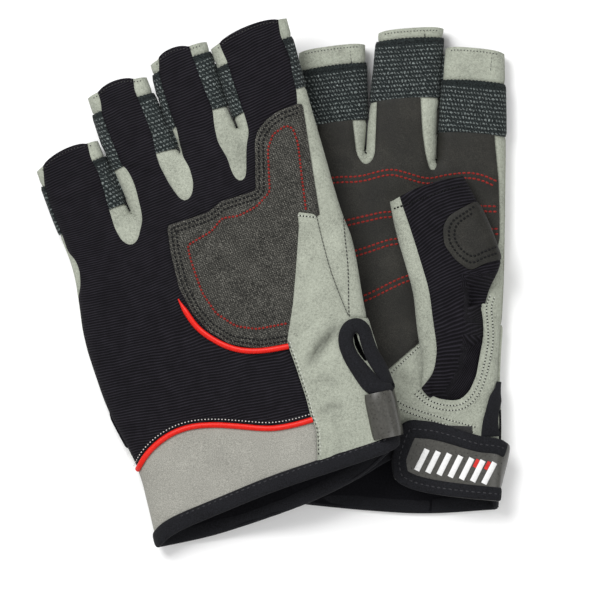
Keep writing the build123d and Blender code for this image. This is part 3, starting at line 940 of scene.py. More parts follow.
def speckled_cloth(name):
    """Dark grey knuckle cloth, a tight weave of black and light yarn."""
    paint = Paint(name, roughness=0.85, sheen=0.02, specular=0.15)
    across, along, _ = paint.split(paint.attribute("cloth"))
    grain = paint.noise(2.1, 3.0, 0.7)
    weave = paint.math("MULTIPLY", paint.wave(across, 0.85), paint.wave(along, 0.7))
    tone = paint.math("ADD", paint.math("MULTIPLY", grain, 0.85), paint.math("MULTIPLY", weave, 0.15))
    cloudy = paint.math("SUBTRACT", paint.noise(0.12, 2.0), 0.5)
    tone = paint.math("ADD", tone, paint.math("MULTIPLY", cloudy, 0.12))
    colour = paint.ramp(tone, (0.33, (0.006, 0.006, 0.0055)), (0.5, (0.042, 0.041, 0.036)),
                        (0.66, (0.19, 0.185, 0.162)))
    return paint.finish(colour, paint.bump(paint.math("ADD", grain, weave), 0.5, 0.0003),
                        paint.ramp(grain, (0.3, 0.78), (0.7, 0.95)))


def suede_cloth(name):
    """Pale suede: a soft nap with fine dark pores and cloudy lighter and darker areas, with painted shade
    that darkens it in its creases and along its seam grooves.
    """
    paint = Paint(name, roughness=0.95, sheen=0.08, specular=0.1)
    colour = (0.318, 0.337, 0.28)
    clouds = paint.noise(0.09, 4.0, 0.6)
    nap = paint.noise(1.1, 4.0, 0.65)
    pores = paint.noise(3.0, 2.0, 0.6)
    tone = paint.math("ADD", paint.math("MULTIPLY", clouds, 0.25), paint.math("MULTIPLY", nap, 0.4))
    tone = paint.math("ADD", tone, paint.math("MULTIPLY", pores, 0.35))
    dark = tuple(c * 0.45 for c in colour)
    light = tuple(c * 1.4 for c in colour)
    shade = paint.ramp(tone, (0.32, dark), (0.5, colour), (0.68, light))
    # Painted shade: the cloth's relief depth darkens the suede colour in its creases and along its seam
    # grooves.
    _, _, depth = paint.split(paint.attribute("cloth"))
    crease_shade = paint.math("ADD", paint.math("MULTIPLY", depth, 0.3), 0.7)
    shade = paint.mix(1.0, shade, paint.ramp(crease_shade, (0.05, 0.5), (0.72, 1.0)), "MULTIPLY")
    height = paint.math("ADD", nap, paint.math("MULTIPLY", pores, 0.6))
    return paint.finish(shade, paint.bump(height, 0.7, 0.0005), paint.ramp(nap, (0.3, 0.88), (0.7, 1.0)))


def facing_cloth(name):
    """Charcoal rubbery palm facing: fine grain, worn lighter in places, with a few dull coloured specks."""
    paint = Paint(name, roughness=0.65, sheen=0.0, specular=0.2)
    grain = paint.noise(2.6, 3.0, 0.6)
    worn = paint.noise(0.07, 4.0, 0.6)
    tone = paint.math("ADD", paint.math("MULTIPLY", grain, 0.55), paint.math("MULTIPLY", worn, 0.45))
    base = paint.ramp(tone, (0.32, (0.006, 0.0058, 0.0048)), (0.5, (0.0165, 0.016, 0.0135)),
                      (0.7, (0.042, 0.04, 0.034)))
    specks = paint.ramp(paint.spots(1.3), (0.0, 1.0), (0.11, 0.0))
    hue = paint.ramp(paint.noise(0.8), (0.4, (0.09, 0.04, 0.02)), (0.55, (0.04, 0.055, 0.024)))
    colour = paint.mix(paint.math("MULTIPLY", specks, 0.6), base, hue)
    return paint.finish(colour, paint.bump(grain, 0.4, 0.0003), paint.ramp(worn, (0.3, 0.55), (0.7, 0.75)))


def webbing(name):
    """Black knitted webbing with rows of pale slanted dashes round the finger and a plain black top edge."""
    paint = Paint(name, roughness=0.85, sheen=0.02, specular=0.12)
    across, along, _ = paint.split(paint.attribute("cloth"))
    row_pitch, dash_pitch, plain_edge = 1.7, 1.3, 2.3
    wobble = paint.math("MULTIPLY", paint.math("SUBTRACT", paint.noise(0.9, 2.0), 0.5), 1.1)
    row = paint.math("DIVIDE", paint.math("ADD", along, wobble), row_pitch)
    odd = paint.math("MODULO", paint.math("FLOOR", row), 2.0)
    in_row = paint.math("FRACT", row)
    slant = paint.math("MULTIPLY", in_row, 0.7)
    place = paint.math("ADD", paint.math("DIVIDE", across, dash_pitch), paint.math("MULTIPLY", odd, 0.5))
    in_dash = paint.math("FRACT", paint.math("ADD", paint.math("ADD", place, slant), wobble))
    peaks = []
    for part in (in_row, in_dash):
        off = paint.math("ABSOLUTE", paint.math("SUBTRACT", part, 0.5))
        peaks.append(paint.math("SUBTRACT", 1.0, paint.math("MULTIPLY", off, 2.0)))
    fray = paint.noise(1.7, 3.0, 0.7)
    thread_height = paint.math("MULTIPLY", paint.math("MULTIPLY", *peaks), paint.math("ADD", fray, 0.5))
    below_edge = paint.math("LESS_THAN", along, -plain_edge)
    shown = paint.math("MULTIPLY", paint.ramp(thread_height, (0.3, 0.0), (0.62, 1.0)), below_edge)
    ground = paint.ramp(paint.noise(2.5, 2.0), (0.35, (0.003, 0.0045, 0.005)), (0.7, (0.03, 0.038, 0.038)))
    pale = paint.ramp(fray, (0.35, (0.055, 0.068, 0.066)), (0.68, (0.32, 0.36, 0.35)))
    colour = paint.mix(shown, ground, pale)
    knit = paint.math("ADD", thread_height, paint.math("MULTIPLY", fray, 0.3))
    return paint.finish(colour, paint.bump(knit, 1.0, 0.0007))


def plain_cloth(name, dark, light, scale, roughness, strength, sheen=0.1, specular=0.3, coat=0.0):
    """Fine-grained cloth or rubber between two tones, with a close weave."""
    paint = Paint(name, roughness=roughness, sheen=sheen, specular=specular, coat=coat)
    grain = paint.noise(scale, 3.0, 0.6)
    broad = paint.noise(0.06, 3.0)
    tone = paint.math("ADD", paint.math("MULTIPLY", grain, 0.85), paint.math("MULTIPLY", broad, 0.15))
    colour = paint.ramp(tone, (0.32, dark), (0.68, light))
    return paint.finish(colour, paint.bump(grain, strength, 0.0003),
                        paint.ramp(grain, (0.3, roughness - 0.08), (0.7, min(roughness + 0.08, 1.0))))


def thread(name, dark, light):
    """Twisted sewing thread."""
    paint = Paint(name, roughness=0.7, sheen=0.0, specular=0.15)
    twist = paint.noise(3.0, 2.0)
    return paint.finish(paint.ramp(twist, (0.35, dark), (0.65, light)), paint.bump(twist, 0.4, 0.0002))


def make_paints():
    """Every material, by name."""
    plain = {  # dark tone, light tone, grain, roughness, bump strength, sheen, specular, coat
        "cuff_cloth": ((0.17, 0.168, 0.149), (0.37, 0.365, 0.325), 2.6, 0.85, 0.5, 0.03, 0.2),
        "red_piping": ((0.5, 0.006, 0.002), (0.72, 0.011, 0.003), 1.2, 0.45, 0.1, 0.0, 0.25, 0.05),
        "binding_tape": ((0.003, 0.003, 0.0035), (0.016, 0.0165, 0.02), 2.2, 0.88, 0.6, 0.02, 0.12),
        "strap_rubber": ((0.024, 0.023, 0.019), (0.05, 0.048, 0.04), 1.0, 0.33, 0.1, 0.0, 0.7),
        "badge": ((0.62, 0.62, 0.62), (0.78, 0.78, 0.77), 1.0, 0.4, 0.08),
        "badge_red": ((0.45, 0.012, 0.009), (0.6, 0.025, 0.018), 1.0, 0.4, 0.08),
        "lining": ((0.002, 0.002, 0.003), (0.008, 0.008, 0.01), 1.5, 0.95, 0.35, 0.0, 0.1),
        "hook_tape": ((0.006, 0.006, 0.006), (0.03, 0.03, 0.03), 3.0, 0.6, 1.0),
        "loop_tape": ((0.008, 0.008, 0.008), (0.03, 0.03, 0.03), 1.8, 0.95, 1.0, 0.4),
    }
    threads = {  # dark tone, light tone
        "black_thread": ((0.0015, 0.0015, 0.002), (0.009, 0.009, 0.01)),
        "red_thread": ((0.1, 0.008, 0.006), (0.31, 0.028, 0.022)),
        "hem_thread": ((0.02, 0.02, 0.02), (0.07, 0.07, 0.065)),
        "binding_thread": ((0.012, 0.012, 0.014), (0.05, 0.05, 0.055)),
        "white_thread": ((0.4, 0.4, 0.38), (0.68, 0.68, 0.64)),
        "pale_thread": ((0.36, 0.38, 0.33), (0.56, 0.58, 0.52)),
    }
    made = {
        "stretch_cloth": ribbed_cloth("stretch_cloth"),
        "knuckle_cloth": speckled_cloth("knuckle_cloth"),
        "suede": suede_cloth("suede"),
        "palm_facing": facing_cloth("palm_facing"),
        "woven_wrap": webbing("woven_wrap"),
    }
    made.update((name, plain_cloth(name, *look)) for name, look in plain.items())
    made.update((name, thread(name, *tones)) for name, tones in threads.items())
    return made


# ---------------------------------------------------------------- the gloves


def wrinkles(glove):
    """The cloth's unevenness: broad dents, small ripples and a few pressed creases."""
    creases = {  # three points, depth and width
        (True, BACK): (
            ((27, -17), (20.8, -24), (13.6, -34), 2.4, 1.8),
            ((24, -13), (17, -21), (11, -30), -0.9, 2.6),
            ((18, -52.8), (23, -50), (29, -49), 1.4, 1.2),
            ((16, -40), (22, -39), (30, -43), 0.9, 1.4),
            ((24, -52), (27, -62), (26, -72), 0.9, 1.8),
            ((-58, 46.4), (-52.2, 44.6), (-46, 42), 2.0, 1.5),
            ((-67, 22), (-74, 14), (-79, 10), 0.8, 2.0),
            ((-56.4, 27), (-56.8, 22), (-58.6, 18), 0.7, 0.8),
            ((-14, 60), (-12, 54), (-13.4, 45), 0.9, 0.8),
            ((24, -66), (30, -58), (33, -48), -0.5, 3.0),
        ),
        (False, PALM): (
            ((45, -35), (53, -38.5), (60, -41.5), 0.5, 1.6),
            ((37.2, 51), (36.6, 49), (36.8, 47), 0.5, 0.7),
            ((65.8, 49), (63.6, 47.6), (62.6, 46), 0.5, 0.7),
            ((86, -4), (87, -20), (85, -36), -0.5, 2.2),
        ),
    }
    calm = 0.35 if not glove.over else 1.0

    def relief(points, side, gap):
        seed = 3.1 if glove.over else 8.7
        made = 0.6 * bumps(points, 24, seed + side) + 0.24 * bumps(points, 8, seed + 2 * side)
        made = made * (smoothstep(gap / 5) * 0.8 + 0.2) * (calm if side == BACK else 0.5 + calm / 2)
        for *line, depth, width in creases.get((glove.over, side), ()):
            line = smoothed(line, 5)
            distance, _, which = nearest(points, line[:-1], line[1:])
            fade = np.sin(np.pi * (which + 0.5) / (len(line) - 1)) ** 0.7
            made -= depth * fade * np.exp(-(distance / width) ** 2)
        return made

    return relief


def make_hand(glove, paints, back_map, palm_map, left_plan):
    """The panels of the hand and fingers."""
    spans = WRAP_SPANS[glove.name]
    bands = [(f"wrap_{finger}", glove.finger_band(i, *spans[i])) for i, finger in enumerate(FINGERS)]
    back = back_skin(glove, bands, back_map)
    hole = palm_map(rounded(THUMB_HOLE, 1.5, True, 3))
    facing = palm_map(rounded(PALM_FACING, 2.0, True, 3))
    palm_regions = [("hole", hole), *bands, ("palm_reinforcement", facing)]
    palm = Skin(glove.shell, PALM, glove.outline(PALM), palm_regions, "palm_panel", relief=glove.relief)
    pieces = (
        (back, "back_panel", "stretch_cloth", 0.0, CLOTH),
        (back, "back_cuff", "cuff_cloth", 0.15, CLOTH),
        (back, "knuckle_patch", "knuckle_cloth", PATCH_LIFT, 1.4),
        (back, "thumb_side_panel", "suede", 0.95, 1.4),
        (back, "index_side_gusset", "suede", 0.3, 1.2),
        (back, "pinky_side_strip", "suede", 0.0, CLOTH),
        *((back, f"fourchette_{pair}", "suede", 0.0, CLOTH) for pair in FINGER_GAPS),
        (palm, "palm_panel", "suede", 0.0, CLOTH),
        (palm, "palm_reinforcement", "palm_facing", FACING_LIFT, 1.4),
    )
    for skin, label, slot, lift, thick in pieces:
        lay = back_lay(glove, left_plan) if label == "back_panel" else None
        made = panel(glove, label, [(skin, label)], paints[slot], lift, thick, paints["lining"], lay=lay)
        finish_piece(made, f"{glove.name}_glove", slot, [f"{glove.name}_{label}"])
    make_wraps(glove, paints, back, palm)


def back_skin(glove, bands, back_map):
    """The back, cut along the seams of its panels."""
    aside = glove.across * 14
    zones = []
    for slit, pair in zip(glove.hand["slits"], FINGER_GAPS):
        root, far = slit - glove.ahead * 18, slit + glove.ahead * 70
        zones.append((f"fourchette_{pair}", [root - aside, far - aside, far + aside, root + aside]))
    patch = [*PATCH_EDGE, (12, 71), (19, 27), (13, 22), (9, -24)]
    cuff = [(-62, -84), *CUFF_EDGE, (20, -54), (22, -130), (-62, -130)]
    regions = [
        ("gap", back_map(KEYHOLE_GAP)),
        ("thumb_side_panel", back_map(rounded(SIDE_PANEL, 1.5, True, 3))),
        ("knuckle_patch", back_map(rounded(patch, 1.0, True, 3))),
        ("back_cuff", back_map(rounded(cuff, 2.0, True, 3))),
        ("back_panel", back_map(rounded(BACK_CLOTH, 2.0, True, 3))),
        *bands,
        ("index_side_gusset", back_map(GUSSET)),
        *zones,
    ]
    return Skin(glove.shell, BACK, glove.outline(BACK), regions, "pinky_side_strip", relief=glove.relief)


def make_wraps(glove, paints, back, palm):
    """The woven wraps, each with its weave square to its own finger's tip."""
    for index, finger in enumerate(FINGERS):
        label = f"wrap_{finger}"
        left, right = glove.tip(index)
        across = unit(right - left)
        top = np.dot(left, (-across[1], across[0])) - WRAP_SPANS[glove.name][index][0]
        lay = straight_lay(across, glove.shell, top)
        parts = [(back, label), (palm, label)]
        made = panel(glove, label, parts, paints["woven_wrap"], WRAP_LIFT, 1.5, lay=lay)
        finish_piece(made, f"{glove.name}_glove", "woven_wrap", [f"{glove.name}_{label}"])


def make_piping(glove, paints, back_map):
    """The two red pipings; the one round the patch starts thin."""
    for label, route in (("patch_piping", PATCH_PIPING), ("cuff_piping", CUFF_EDGE)):
        points, normals = on_skin(glove, rounded(back_map(route), 6), BACK, 0.45)
        taper = smoothstep(np.linspace(0, 1, len(points)) * 8) if label == "patch_piping" else 1.0
        size = 0.3 + 0.85 * taper
        make_strip(glove, paints, label, "red_piping", points, normals, size, size * 0.9, sides=10, power=2)


def tip_hems(glove):
    """Rows of stitching below each finger's cut end, and the seams that run down from some of them."""
    hems = []
    for index in range(len(FINGERS)):
        left, right = glove.tip(index)
        down = unit(np.array([right[1] - left[1], left[0] - right[0]]))
        for face in (PALM, BACK):
            hems += stitched(glove, [glove.tip_line(index, face)[1:-1] + down * 1.3], face, 0.0, 1.3, 0.4)
        seam = glove.hand["tip_seams"][index]
        if seam:
            hems += stitched(glove, [np.array([seam, np.array(seam) + down * 9])], PALM, -0.15, 1.5, 1.0)
    return hems


def make_stitching(glove, paints, back_map, palm_map):
    """Every row of thread on the hand, one piece for each colour."""
    black, pale = [], []
    red = stitched(glove, [rounded(back_map(RED_INSET), 1.2)], BACK, PATCH_LIFT + 0.16, 1.5, 0.74)
    patch = smoothed(PATCH_EDGE, 1.0)
    rows = [back_map(beside(patch, -d)) for d in (1.5, 3.3)]
    black += stitched(glove, rows, BACK, PATCH_LIFT + 0.1, 1.6, 0.66)
    for row in PALM_ROWS:
        line = smoothed(palm_map(row), 5)
        red += stitched(glove, [line, beside(line, -2.1)], PALM, FACING_LIFT - 0.05, 1.85, 0.8)
    cut = smoothed(palm_map(CUT_OUT_ROW), 5)
    holed = [(cut, PALM, 0.0), (beside(cut, 1.9), PALM, 0.0)]
    for row in HEEL_ROWS:
        holed += [(smoothed(palm_map(row), 4), PALM, 0.0)]
    heel = smoothed(palm_map(((59, -25.6), (46.4, -37.4), (46.6, -44), (49, -48.4))), 3)
    holed += [(heel, PALM, 0.0)]
    side = smoothed(back_map(SIDE_PANEL[4:10]), 3)
    pale += stitched(glove, [beside(side, 1.2)], BACK, 1.0, 1.6, 0.6)
    tab = np.array((SIDE_PANEL[0], SIDE_PANEL[-1]), float) - (0, 1.3)
    holed += [(resampled(back_map(tab), 1.0), BACK, 0.95)]
    # Each of these rows has pale thread dashes and, between them, short black dashes set a little lower that
    # stand for the shade in the stitch holes: painted shade.
    for line, face, lift in holed:
        pale += stitched(glove, [line], face, lift + 0.06, 1.3, 0.5)
        black += stitched(glove, [line], face, lift - 0.04, 1.3, 0.3, 0.7)
    overlock = smoothed(back_map(CUFF_EDGE), 6)
    white = stitched(glove, [beside(overlock, 2.3)], BACK, 0.08, 1.35, 0.42)
    hems = stitched(glove, [beside(side, 0.5)], BACK, 0.98, 1.7, 0.45)
    for route in (SIDE_PANEL[13:], ((28.1, 25.7), (29, 15.5), (30.3, 4.4), (30.7, -14.4))):
        hems += stitched(glove, [rounded(back_map(route), 5)], BACK, 0.42, 1.5, 0.7)
    hems += tip_hems(glove)
    threads = (("hem", hems, 0.25), ("red", red, 0.48), ("black", black, 0.4), ("pale", pale, 0.26))
    for colour, rows, radius in threads:
        dashes(glove, f"{colour}_stitching", rows, paints[f"{colour}_thread"], radius)
    dashes(glove, "overlock_stitching", white, paints["white_thread"], 0.24)


def wrist_ring(glove):
    """The wrist binding's path and normals once round, along the back and then along the palm."""
    path, ups = [], []
    inset, corner_steps = 2.3, 20
    ends = glove.hand["wrist"]
    for side, order in ((BACK, 1), (PALM, -1)):
        edge = smoothed([ends[1], *glove.hand["wrist_edge"][side], ends[0]], 12, 0.2)
        thumb_way = unit(np.array(glove.hand["thumb_edge"][-1]) - np.array(ends[1], float))
        little_way = unit(np.array(glove.hand["little_edge"][0]) - np.array(ends[0], float))
        at_thumb = np.clip(1 - np.arange(len(edge))[:, None] / corner_steps, 0, 1)
        at_little = at_thumb[::-1]
        way = glove.ahead * (1 - at_thumb - at_little) + thumb_way * at_thumb + little_way * at_little
        points, normals, _ = glove.shell.surface(edge + way * inset, side)
        path.append(points[::order])
        ups.append(normals[::order])
    both = resampled3(np.column_stack([np.vstack(path), np.vstack(ups)]), 1.6)[:-1]
    return both[:, :3], both[:, 3:]


def make_wrist_binding(glove, paints):
    """The tape round the wrist and the row of thread along its back."""
    path, ups = wrist_ring(glove)
    height = 1.35 if glove.over else 0.95
    make_strip(glove, paints, "wrist_binding", "binding_tape", path, ups, 3.2, height, closed=True, sides=16)
    half = len(path) // 2 - 8
    row = path[2:half] + np.array([*(glove.ahead * 2.1), 0]) + ups[2:half] * (height - 0.05)
    dashes(glove, "binding_stitching", [(row, ups[2:half], 2.4, 0.5, 0.1)], paints["binding_thread"], 0.3)


def make_keyhole(glove, paints, back_map, palm_map):
    """The bound keyhole slit: its loop, the lip below it and the tape on the palm side."""
    flat = 1.0 if glove.over else 0.35
    shift = 0 if glove.over else RIGHT_KEYHOLE_SHIFT
    form = {"sides": 14, "power": 2}
    points, normals = on_skin(glove, rounded(back_map(KEYHOLE), 3) - (shift, 0), BACK, 1.6 * flat)
    widths = 3.0 + 0.9 * smoothstep(np.abs(np.linspace(-1.5, 1.5, len(points))) - 0.4)
    make_strip(glove, paints, "slit_binding", "binding_tape", points, normals, widths, 1.9 * flat, **form)
    points, normals = on_skin(glove, rounded(back_map(KEYHOLE_LIP) - (shift, 0), 3), BACK, 2.6 * flat)
    make_strip(glove, paints, "slit_lip", "binding_tape", points, normals, 2.5, 1.7 * flat, stands_for=False,
               **form)
    points, normals = on_skin(glove, rounded(palm_map(SLIT_EDGE), 3), PALM, 0.8)
    widths = np.interp(np.linspace(0, 1, len(points)), (0, 0.3, 0.55, 0.78, 1), (0.7, 3.3, 3.0, 3.5, 4.1))
    make_strip(glove, paints, "slit_palm_binding", "binding_tape", points, normals, widths, 1.0,
               stands_for=False, sides=14)


class ThumbShell(Shell):
    """The thumb's tube. Beyond its fold, and all round its root, the cloth drops into the palm's opening."""

    def __init__(self, glove, plan):
        self.glove, self.plan = glove, plan
        self.low, self.high = plan["root_half"], plan["half"]
        self.flanks = [smoothed(side, 6, 1.4) for side in plan["sides"]]
        super().__init__(self.flanks, 12, self.middle_height, self.half_height, {PALM: 0.5, BACK: 0.5}, 5.0)

    def half_height(self, points):
        return self.low + (self.high - self.low) * smoothstep((points[:, 1] + 46) / 30)

    def middle_height(self, points):
        sag = 1.2 * (1 - smoothstep((points[:, 1] + 46) / 24))
        return self.plan["floor"] - sag + self.half_height(points)

    def surface(self, points, side):
        found, normals, gap = super().surface(points, side)
        if not self.plan["fold"] or side == BACK:
            return found, normals, gap
        x, y = points.T
        fold = smoothed(self.plan["fold"], 8)
        to_fold, foot, _ = nearest(points, fold[:-1], fold[1:])
        rim = smoothed(THUMB_HOLE[:12], 3)
        opening = [*THUMB_HOLE[:12], (90, -8), (96, 20), (50, 20)]
        to_rim = nearest(points, rim[:-1], rim[1:])[0] * np.where(inside(points, opening), 1, -1)
        to_rim += 5 * smoothstep((y + 14) / 9)
        palm = self.glove.shell.surface(points, PALM)[0]
        palm = palm[:, 2] + self.glove.relief(points, PALM, np.full(len(points), 20.0))
        sheet = palm - 1.9 + 2.7 * smoothstep(to_rim / 4)
        beyond = (x > foot[:, 0]) * smoothstep(to_fold / 2.2) * smoothstep((4 - y) / 9)
        near_rim = (1 - smoothstep(to_rim / 4)) * smoothstep((x - 61.5) / 3) * smoothstep((-6 - y) / 6)
        sunk = np.maximum(beyond, near_rim)
        found[:, 2] += sunk * (sheet - found[:, 2])
        found[:, 2] -= 0.9 * np.exp(-(to_fold / 1.3) ** 2) * smoothstep((6 - y) / 8) * (1 - near_rim)
        turned = normals * (1 - sunk)[:, None] + np.array((0, 0, 1.0)) * sunk[:, None]
        return found, turned / np.linalg.norm(turned, axis=1)[:, None], gap


class Thumb:
    """The thumb's tube with its outline and the unevenness of its cloth."""

    def __init__(self, glove, plan):
        self.plan = plan
        self.shell = ThumbShell(glove, plan)
        self.flanks = self.shell.flanks

    def outline(self):
        left, right = self.flanks
        tip = resampled([left[-1], right[0]], 1.4)[1:-1]
        out = unit(np.array([-(right[0] - left[-1])[1], (right[0] - left[-1])[0]]))
        t = np.linspace(-1, 1, len(tip))[:, None]
        tip = tip + out * 1.6 * (1 - t ** 2)
        root = smoothed([right[-1], *self.plan["root"], left[0]], 4, 1.4)[1:-1]
        return np.vstack([left, tip, right, root])

    def relief(self, points, side, gap):
        depth = 0.3 if side == PALM else 0.05
        return depth * bumps(points, 14, 5.5 + side) * smoothstep((points[:, 1] + 30) / 20)


def make_thumb(glove, paints):
    """The thumb: its ribbed back, its suede palm side, its patch and their stitching."""
    plan = RIGHT_THUMB if glove.name == "right" else LEFT_THUMB
    tube = Thumb(glove, plan)
    border = tube.outline()
    left, right = tube.flanks
    regions = [("patch", rounded(plan["patch"], 2.0, True, 3)), ("palm", rounded(plan["seam"], 4, True, 3))]
    top = Skin(tube.shell, PALM, border, regions, "back", 2.0, tube.relief)
    turned_under = np.vstack([beside(right, -7), beside(right, 20)[::-1]])
    cut = [("none", plan["under"])] if plan["under"] else []
    under = Skin(tube.shell, BACK, border, [*cut, ("back", turned_under)], "palm", 2.4, tube.relief)
    if glove.name == "right":
        start, end = glove.world([(70.1, -17.1, 13.4), (58.9, 5.2, 13.4)])
        body, lay = ("right_glove", "right_thumb", tuple(start), tuple(end)), thumb_lay(plan)
    else:
        body, lay = "left_glove", None
    made = panel(glove, "thumb_back", [(top, "back"), (under, "back")], paints["stretch_cloth"], lay=lay)
    finish_piece(made, body, "stretch_cloth", [f"{glove.name}_thumb_back", f"{glove.name}_thumb_root"])
    made = panel(glove, "thumb_palm", [(top, "palm"), (under, "palm")], paints["suede"], 0.1,
                 lining=paints["lining"])
    finish_piece(made, body, "suede", [f"{glove.name}_thumb_palm"])
    made = panel(glove, "thumb_patch", [(top, "patch")], paints["palm_facing"], 0.6, 1.4)
    finish_piece(made, body, "palm_facing", [f"{glove.name}_thumb_patch"])
    rows = stitched(glove, [rounded(row, 2) for row in plan["patch_rows"]], PALM, 0.75, 1.6, 0.64, tube=tube)
    hem = resampled([left[-1], right[0]], 1.0) + unit(left[-4] - left[-1]) * 3.2
    rows += stitched(glove, [hem[1:-1]], PALM, 0.1, 1.5, 0.6, tube=tube)
    dashes(glove, "thumb_stitching", rows, paints["black_thread"], 0.42, body)


class Flap:
    """The closing strap: it starts on the back, goes round the wrist's thumb edge and ends on the palm. A
    place on it is its distance along the strap and up the wrist; distance 0 is near the edge of the palm."""

    def __init__(self, glove):
        self.glove = glove
        if glove.over:
            back = [(9.2, 1.6), (8.0, -0.4), (5.0, -1.5), (1.0, -1.2), (-1.8, 1.2), (-2.8, 5.0)]
        else:
            back = [(9.2, 1.7), (7.0, 1.0), (3.0, 0.8), (0.2, 1.3), (-1.8, 3.0), (-2.6, 6.0)]
        palm = [(-2.4, 10), (-0.9, 13.2), (2.5, 14.5), (10, 14.6), (46, 14.5)]
        section = smoothed([*back, *palm], 2.4, 0.8)
        ahead = np.gradient(section, axis=0)
        ahead /= np.linalg.norm(ahead, axis=1)[:, None]
        run = run_along(section)
        start = run[np.argmax((section[:, 0] > 2.4) & (section[:, 1] > 13))]
        self.along, self.section = run - start + 2.5, section
        self.out = np.column_stack([-ahead[:, 1], ahead[:, 0]])

    def place(self, along, up, lift):
        """The strap's points and outward normals."""
        along, up = np.array(along, float), np.array(up, float)
        inward, height = (np.interp(along, self.along, column) for column in self.section.T)
        out_in, out_up = (np.interp(along, self.along, column) for column in self.out.T)
        if not self.glove.over:
            lean = 2.2 - 4.2 * np.clip((up - 4) / 20, 0, 1)
            inward = inward + lean * np.exp(-((height - 7.5) / 4.5) ** 4)
        corner = self.glove.strap_point(0, 0)
        plan = self.glove.strap_point(inward, 0) + self.glove.strap_point(0, up) - corner
        inward_way = self.glove.strap_point(1, 0) - corner
        normals = np.column_stack([out_in[:, None] * inward_way, out_up])
        return np.column_stack([plan, height]) + normals * lift, normals


def strap_faces(count):
    """The faces of the strap's two sheets, its long edges and its ends, with count points in a row."""
    faces = []
    under = STRAP_ROWS * count
    for r in range(STRAP_ROWS - 1):
        for i in range(count - 1):
            a, b = r * count + i, (r + 1) * count + i
            faces.append((a, a + 1, b + 1, b))
            faces.append((b + under, b + under + 1, a + under + 1, a + under))
    for i in range(count - 1):
        a, b = i, (STRAP_ROWS - 1) * count + i
        faces.append((a + under, a + under + 1, a + 1, a))
        faces.append((b, b + 1, b + under + 1, b + under))
    for r in range(STRAP_ROWS - 1):
        a, b = r * count, (r + 1) * count
        faces.append((a, b, b + under, a + under))
        a, b = a + count - 1, b + count - 1
        faces.append((a + under, b + under, b, a))
    return faces


def make_strap_sheet(glove, paints, flap, body):
    """The strap and its sewn root, as one closed sheet that is thinner at its long edges."""
    tip = STRAP_LOW[-1][0]
    turns = (np.arange(flap.along[0], 12, 0.6), np.arange(12, 36, 1.2), np.arange(36, tip, 0.6), [tip])
    along = np.concatenate(turns)
    low, high = blend_line(along, STRAP_LOW), blend_line(along, STRAP_HIGH)
    vertices = []
    for side in (1, -1):
        for share in np.linspace(0, 1, STRAP_ROWS):
            swell = 0.55 - 0.35 * (2 * share - 1) ** 6
            vertices.append(flap.place(along, low + (high - low) * share, swell * side)[0])
    vertices = np.vstack(vertices)
    name = f"{glove.name}_strap"
    made = add_object(name, glove.world(vertices), strap_faces(len(along)), paints["strap_rubber"], vertices,
                      vertices)
    recalculate(made)
    finish_piece(made, body, "strap_rubber", [name, f"{name}_root"])


def make_strap_edge(glove, paints, flap, body):
    """The tape round the strap's edge and the row of thread on it."""
    tip = STRAP_LOW[-1][0]
    there = np.arange(-4, tip, 1.0)
    low, high = (np.column_stack([there, blend_line(there, edge)]) for edge in (STRAP_LOW, STRAP_HIGH))
    rim = np.vstack([low, [(tip, STRAP_LOW[-1][1])], [(tip, STRAP_HIGH[-1][1])], high[::-1]])
    rim = beside(smoothed(rim, 1.5, 1.2), 2.9)
    points, normals = flap.place(rim[:, 0], rim[:, 1], 0.4)
    widths = np.interp(np.linspace(0, 1, len(rim)), (0, 0.42, 0.5, 0.62, 1), (2.7, 3.0, 3.0, 3.7, 3.1))
    make_strip(glove, paints, "strap_binding", "binding_tape", points, normals, widths, 0.9, body, sides=14,
               power=3)
    row = (points + normals * 0.87, normals, 2.3, 0.55, 0.1)
    dashes(glove, "strap_stitching", [row], paints["binding_thread"], 0.3, body)


def make_pads(glove, paints, flap):
    """The hook pad under the strap and the loop pad on the heel of the palm."""
    there = np.arange(11, 37, 1.5)
    form = {"sides": 20, "power": 5}
    points, normals = flap.place(there, np.full(len(there), 18.5), -1.0)
    carrier = "left_glove" if glove.over else "right_strap"
    make_strip(glove, paints, "hook_pad", "hook_tape", points, normals, 8.0, 0.4, carrier, **form)
    middle, half = (18.5, 8.0) if glove.over else (28.0, 4.0)
    points, normals, _ = glove.shell.surface(glove.strap_point(there, middle), PALM)
    make_strip(glove, paints, "loop_pad", "loop_tape", points + normals * 0.3, normals, half, 0.4, **form)


def make_strap(glove, paints):
    """The closing strap with its bound edge, its pads and a plain striped badge."""
    flap = Flap(glove)
    body = "left_glove"
    if glove.name == "right":
        start, stop = glove.world([(*glove.strap_point(-1.2, 15), 12.3), (*glove.strap_point(5.2, 15), 16.5)])
        body = ("right_glove", "right_strap", tuple(start), tuple(stop))
    make_strap_sheet(glove, paints, flap, body)
    make_strap_edge(glove, paints, flap, body)
    make_badge(glove, paints, body, flap)
    make_pads(glove, paints, flap)


def make_badge(glove, paints, body, flap):
    """Plain slanted bars moulded on the strap, white with two short red ones between the last."""
    bars = [(30.4 - 4.5 * i, -4.6, 4.6, "badge", 1.15) for i in range(7)]
    bars += [(9.9 - 4.5 * i, 1.2, 4.6, "badge_red", 0.75) for i in range(2)]
    for number, (place, low, high, slot, width) in enumerate(bars):
        steps = np.linspace(low, high, 6)
        there = place - steps * 0.42
        up = np.interp(there, (-1, 33), (12.9, 18.2)) + steps
        points, normals = flap.place(there, up, 0.7)
        label = f"strap_badge_bar_{number + 1}"
        made = sweep(glove, label, points, normals, width, 0.22, paints[slot], sides=8, power=5)
        finish_piece(made, body, "badge", [f"{glove.name}_strap_badge"] if number == 0 else [])


def recalculate(made):
    """Turns every face of a closed mesh outward."""
    work = bmesh.new()
    work.from_mesh(made.data)
    bmesh.ops.recalc_face_normals(work, faces=work.faces)
    work.to_mesh(made.data)
    work.free()


# ---------------------------------------------------------------- the studio


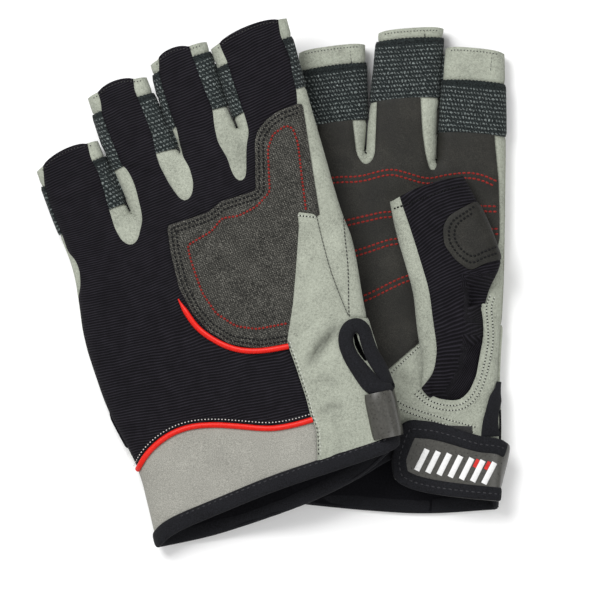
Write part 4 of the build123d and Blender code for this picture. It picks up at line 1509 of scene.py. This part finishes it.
def add_area_light(name, place, aim, size, power):
    """A square light at a place, turned toward aim."""
    light = bpy.data.lights.new(name, "AREA")
    light.shape, light.size, light.energy = "SQUARE", size, power
    holder = bpy.data.objects.new(name, light)
    holder.location = place
    direction = Vector(aim) - Vector(place)
    holder.rotation_euler = direction.to_track_quat("-Z", "Y").to_euler()
    bpy.context.scene.collection.objects.link(holder)


def make_studio():
    """The white floor, the lights and the camera, a long lens straight above the gloves."""
    scene = bpy.context.scene
    scene.view_settings.view_transform = "Standard"
    mesh = bpy.data.meshes.new("floor")
    reach = 1.6
    mesh.from_pydata([(-reach, -reach, 0), (reach, -reach, 0), (reach, reach, 0), (-reach, reach, 0)], [],
                     [(0, 1, 2, 3)])
    floor = bpy.data.objects.new("floor", mesh)
    scene.collection.objects.link(floor)
    paint = Paint("floor", roughness=0.9, specular=0.1)
    mesh.materials.append(paint.finish((0.95, 0.95, 0.95, 1)))
    world = bpy.data.worlds.new("studio")
    scene.world = world
    world.use_nodes = True
    world.node_tree.nodes["Background"].inputs[0].default_value = (1, 1, 1, 1)
    world.node_tree.nodes["Background"].inputs[1].default_value = 0.55
    add_area_light("key", (-0.45, 0.55, 0.95), (0, 0, 0), 0.6, 13.5)
    add_area_light("fill", (0.6, -0.5, 0.8), (0, 0, 0), 0.9, 4)
    camera = bpy.data.cameras.new("camera")
    camera.lens, camera.sensor_width = 1000, 36
    holder = bpy.data.objects.new("camera", camera)
    holder.location = (0.0127, -0.0062, 6.667)
    scene.collection.objects.link(holder)
    scene.camera = holder


def as_it_lies(points):
    """The map for outlines that are already drawn on this glove's plan."""
    return np.array(points, float)


def main():
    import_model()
    paints = make_paints()
    make_studio()
    to_right = Warp(landmarks(LEFT), landmarks(RIGHT))
    to_left = Warp(landmarks(RIGHT), landmarks(LEFT))
    for glove in (Glove("right", RIGHT, False), Glove("left", LEFT, True)):
        back_map, palm_map = (as_it_lies, to_left) if glove.over else (to_right, as_it_lies)
        make_hand(glove, paints, back_map, palm_map, as_it_lies if glove.over else to_left)
        make_piping(glove, paints, back_map)
        make_stitching(glove, paints, back_map, palm_map)
        make_wrist_binding(glove, paints)
        make_keyhole(glove, paints, back_map, palm_map)
        make_thumb(glove, paints)
        make_strap(glove, paints)


main()
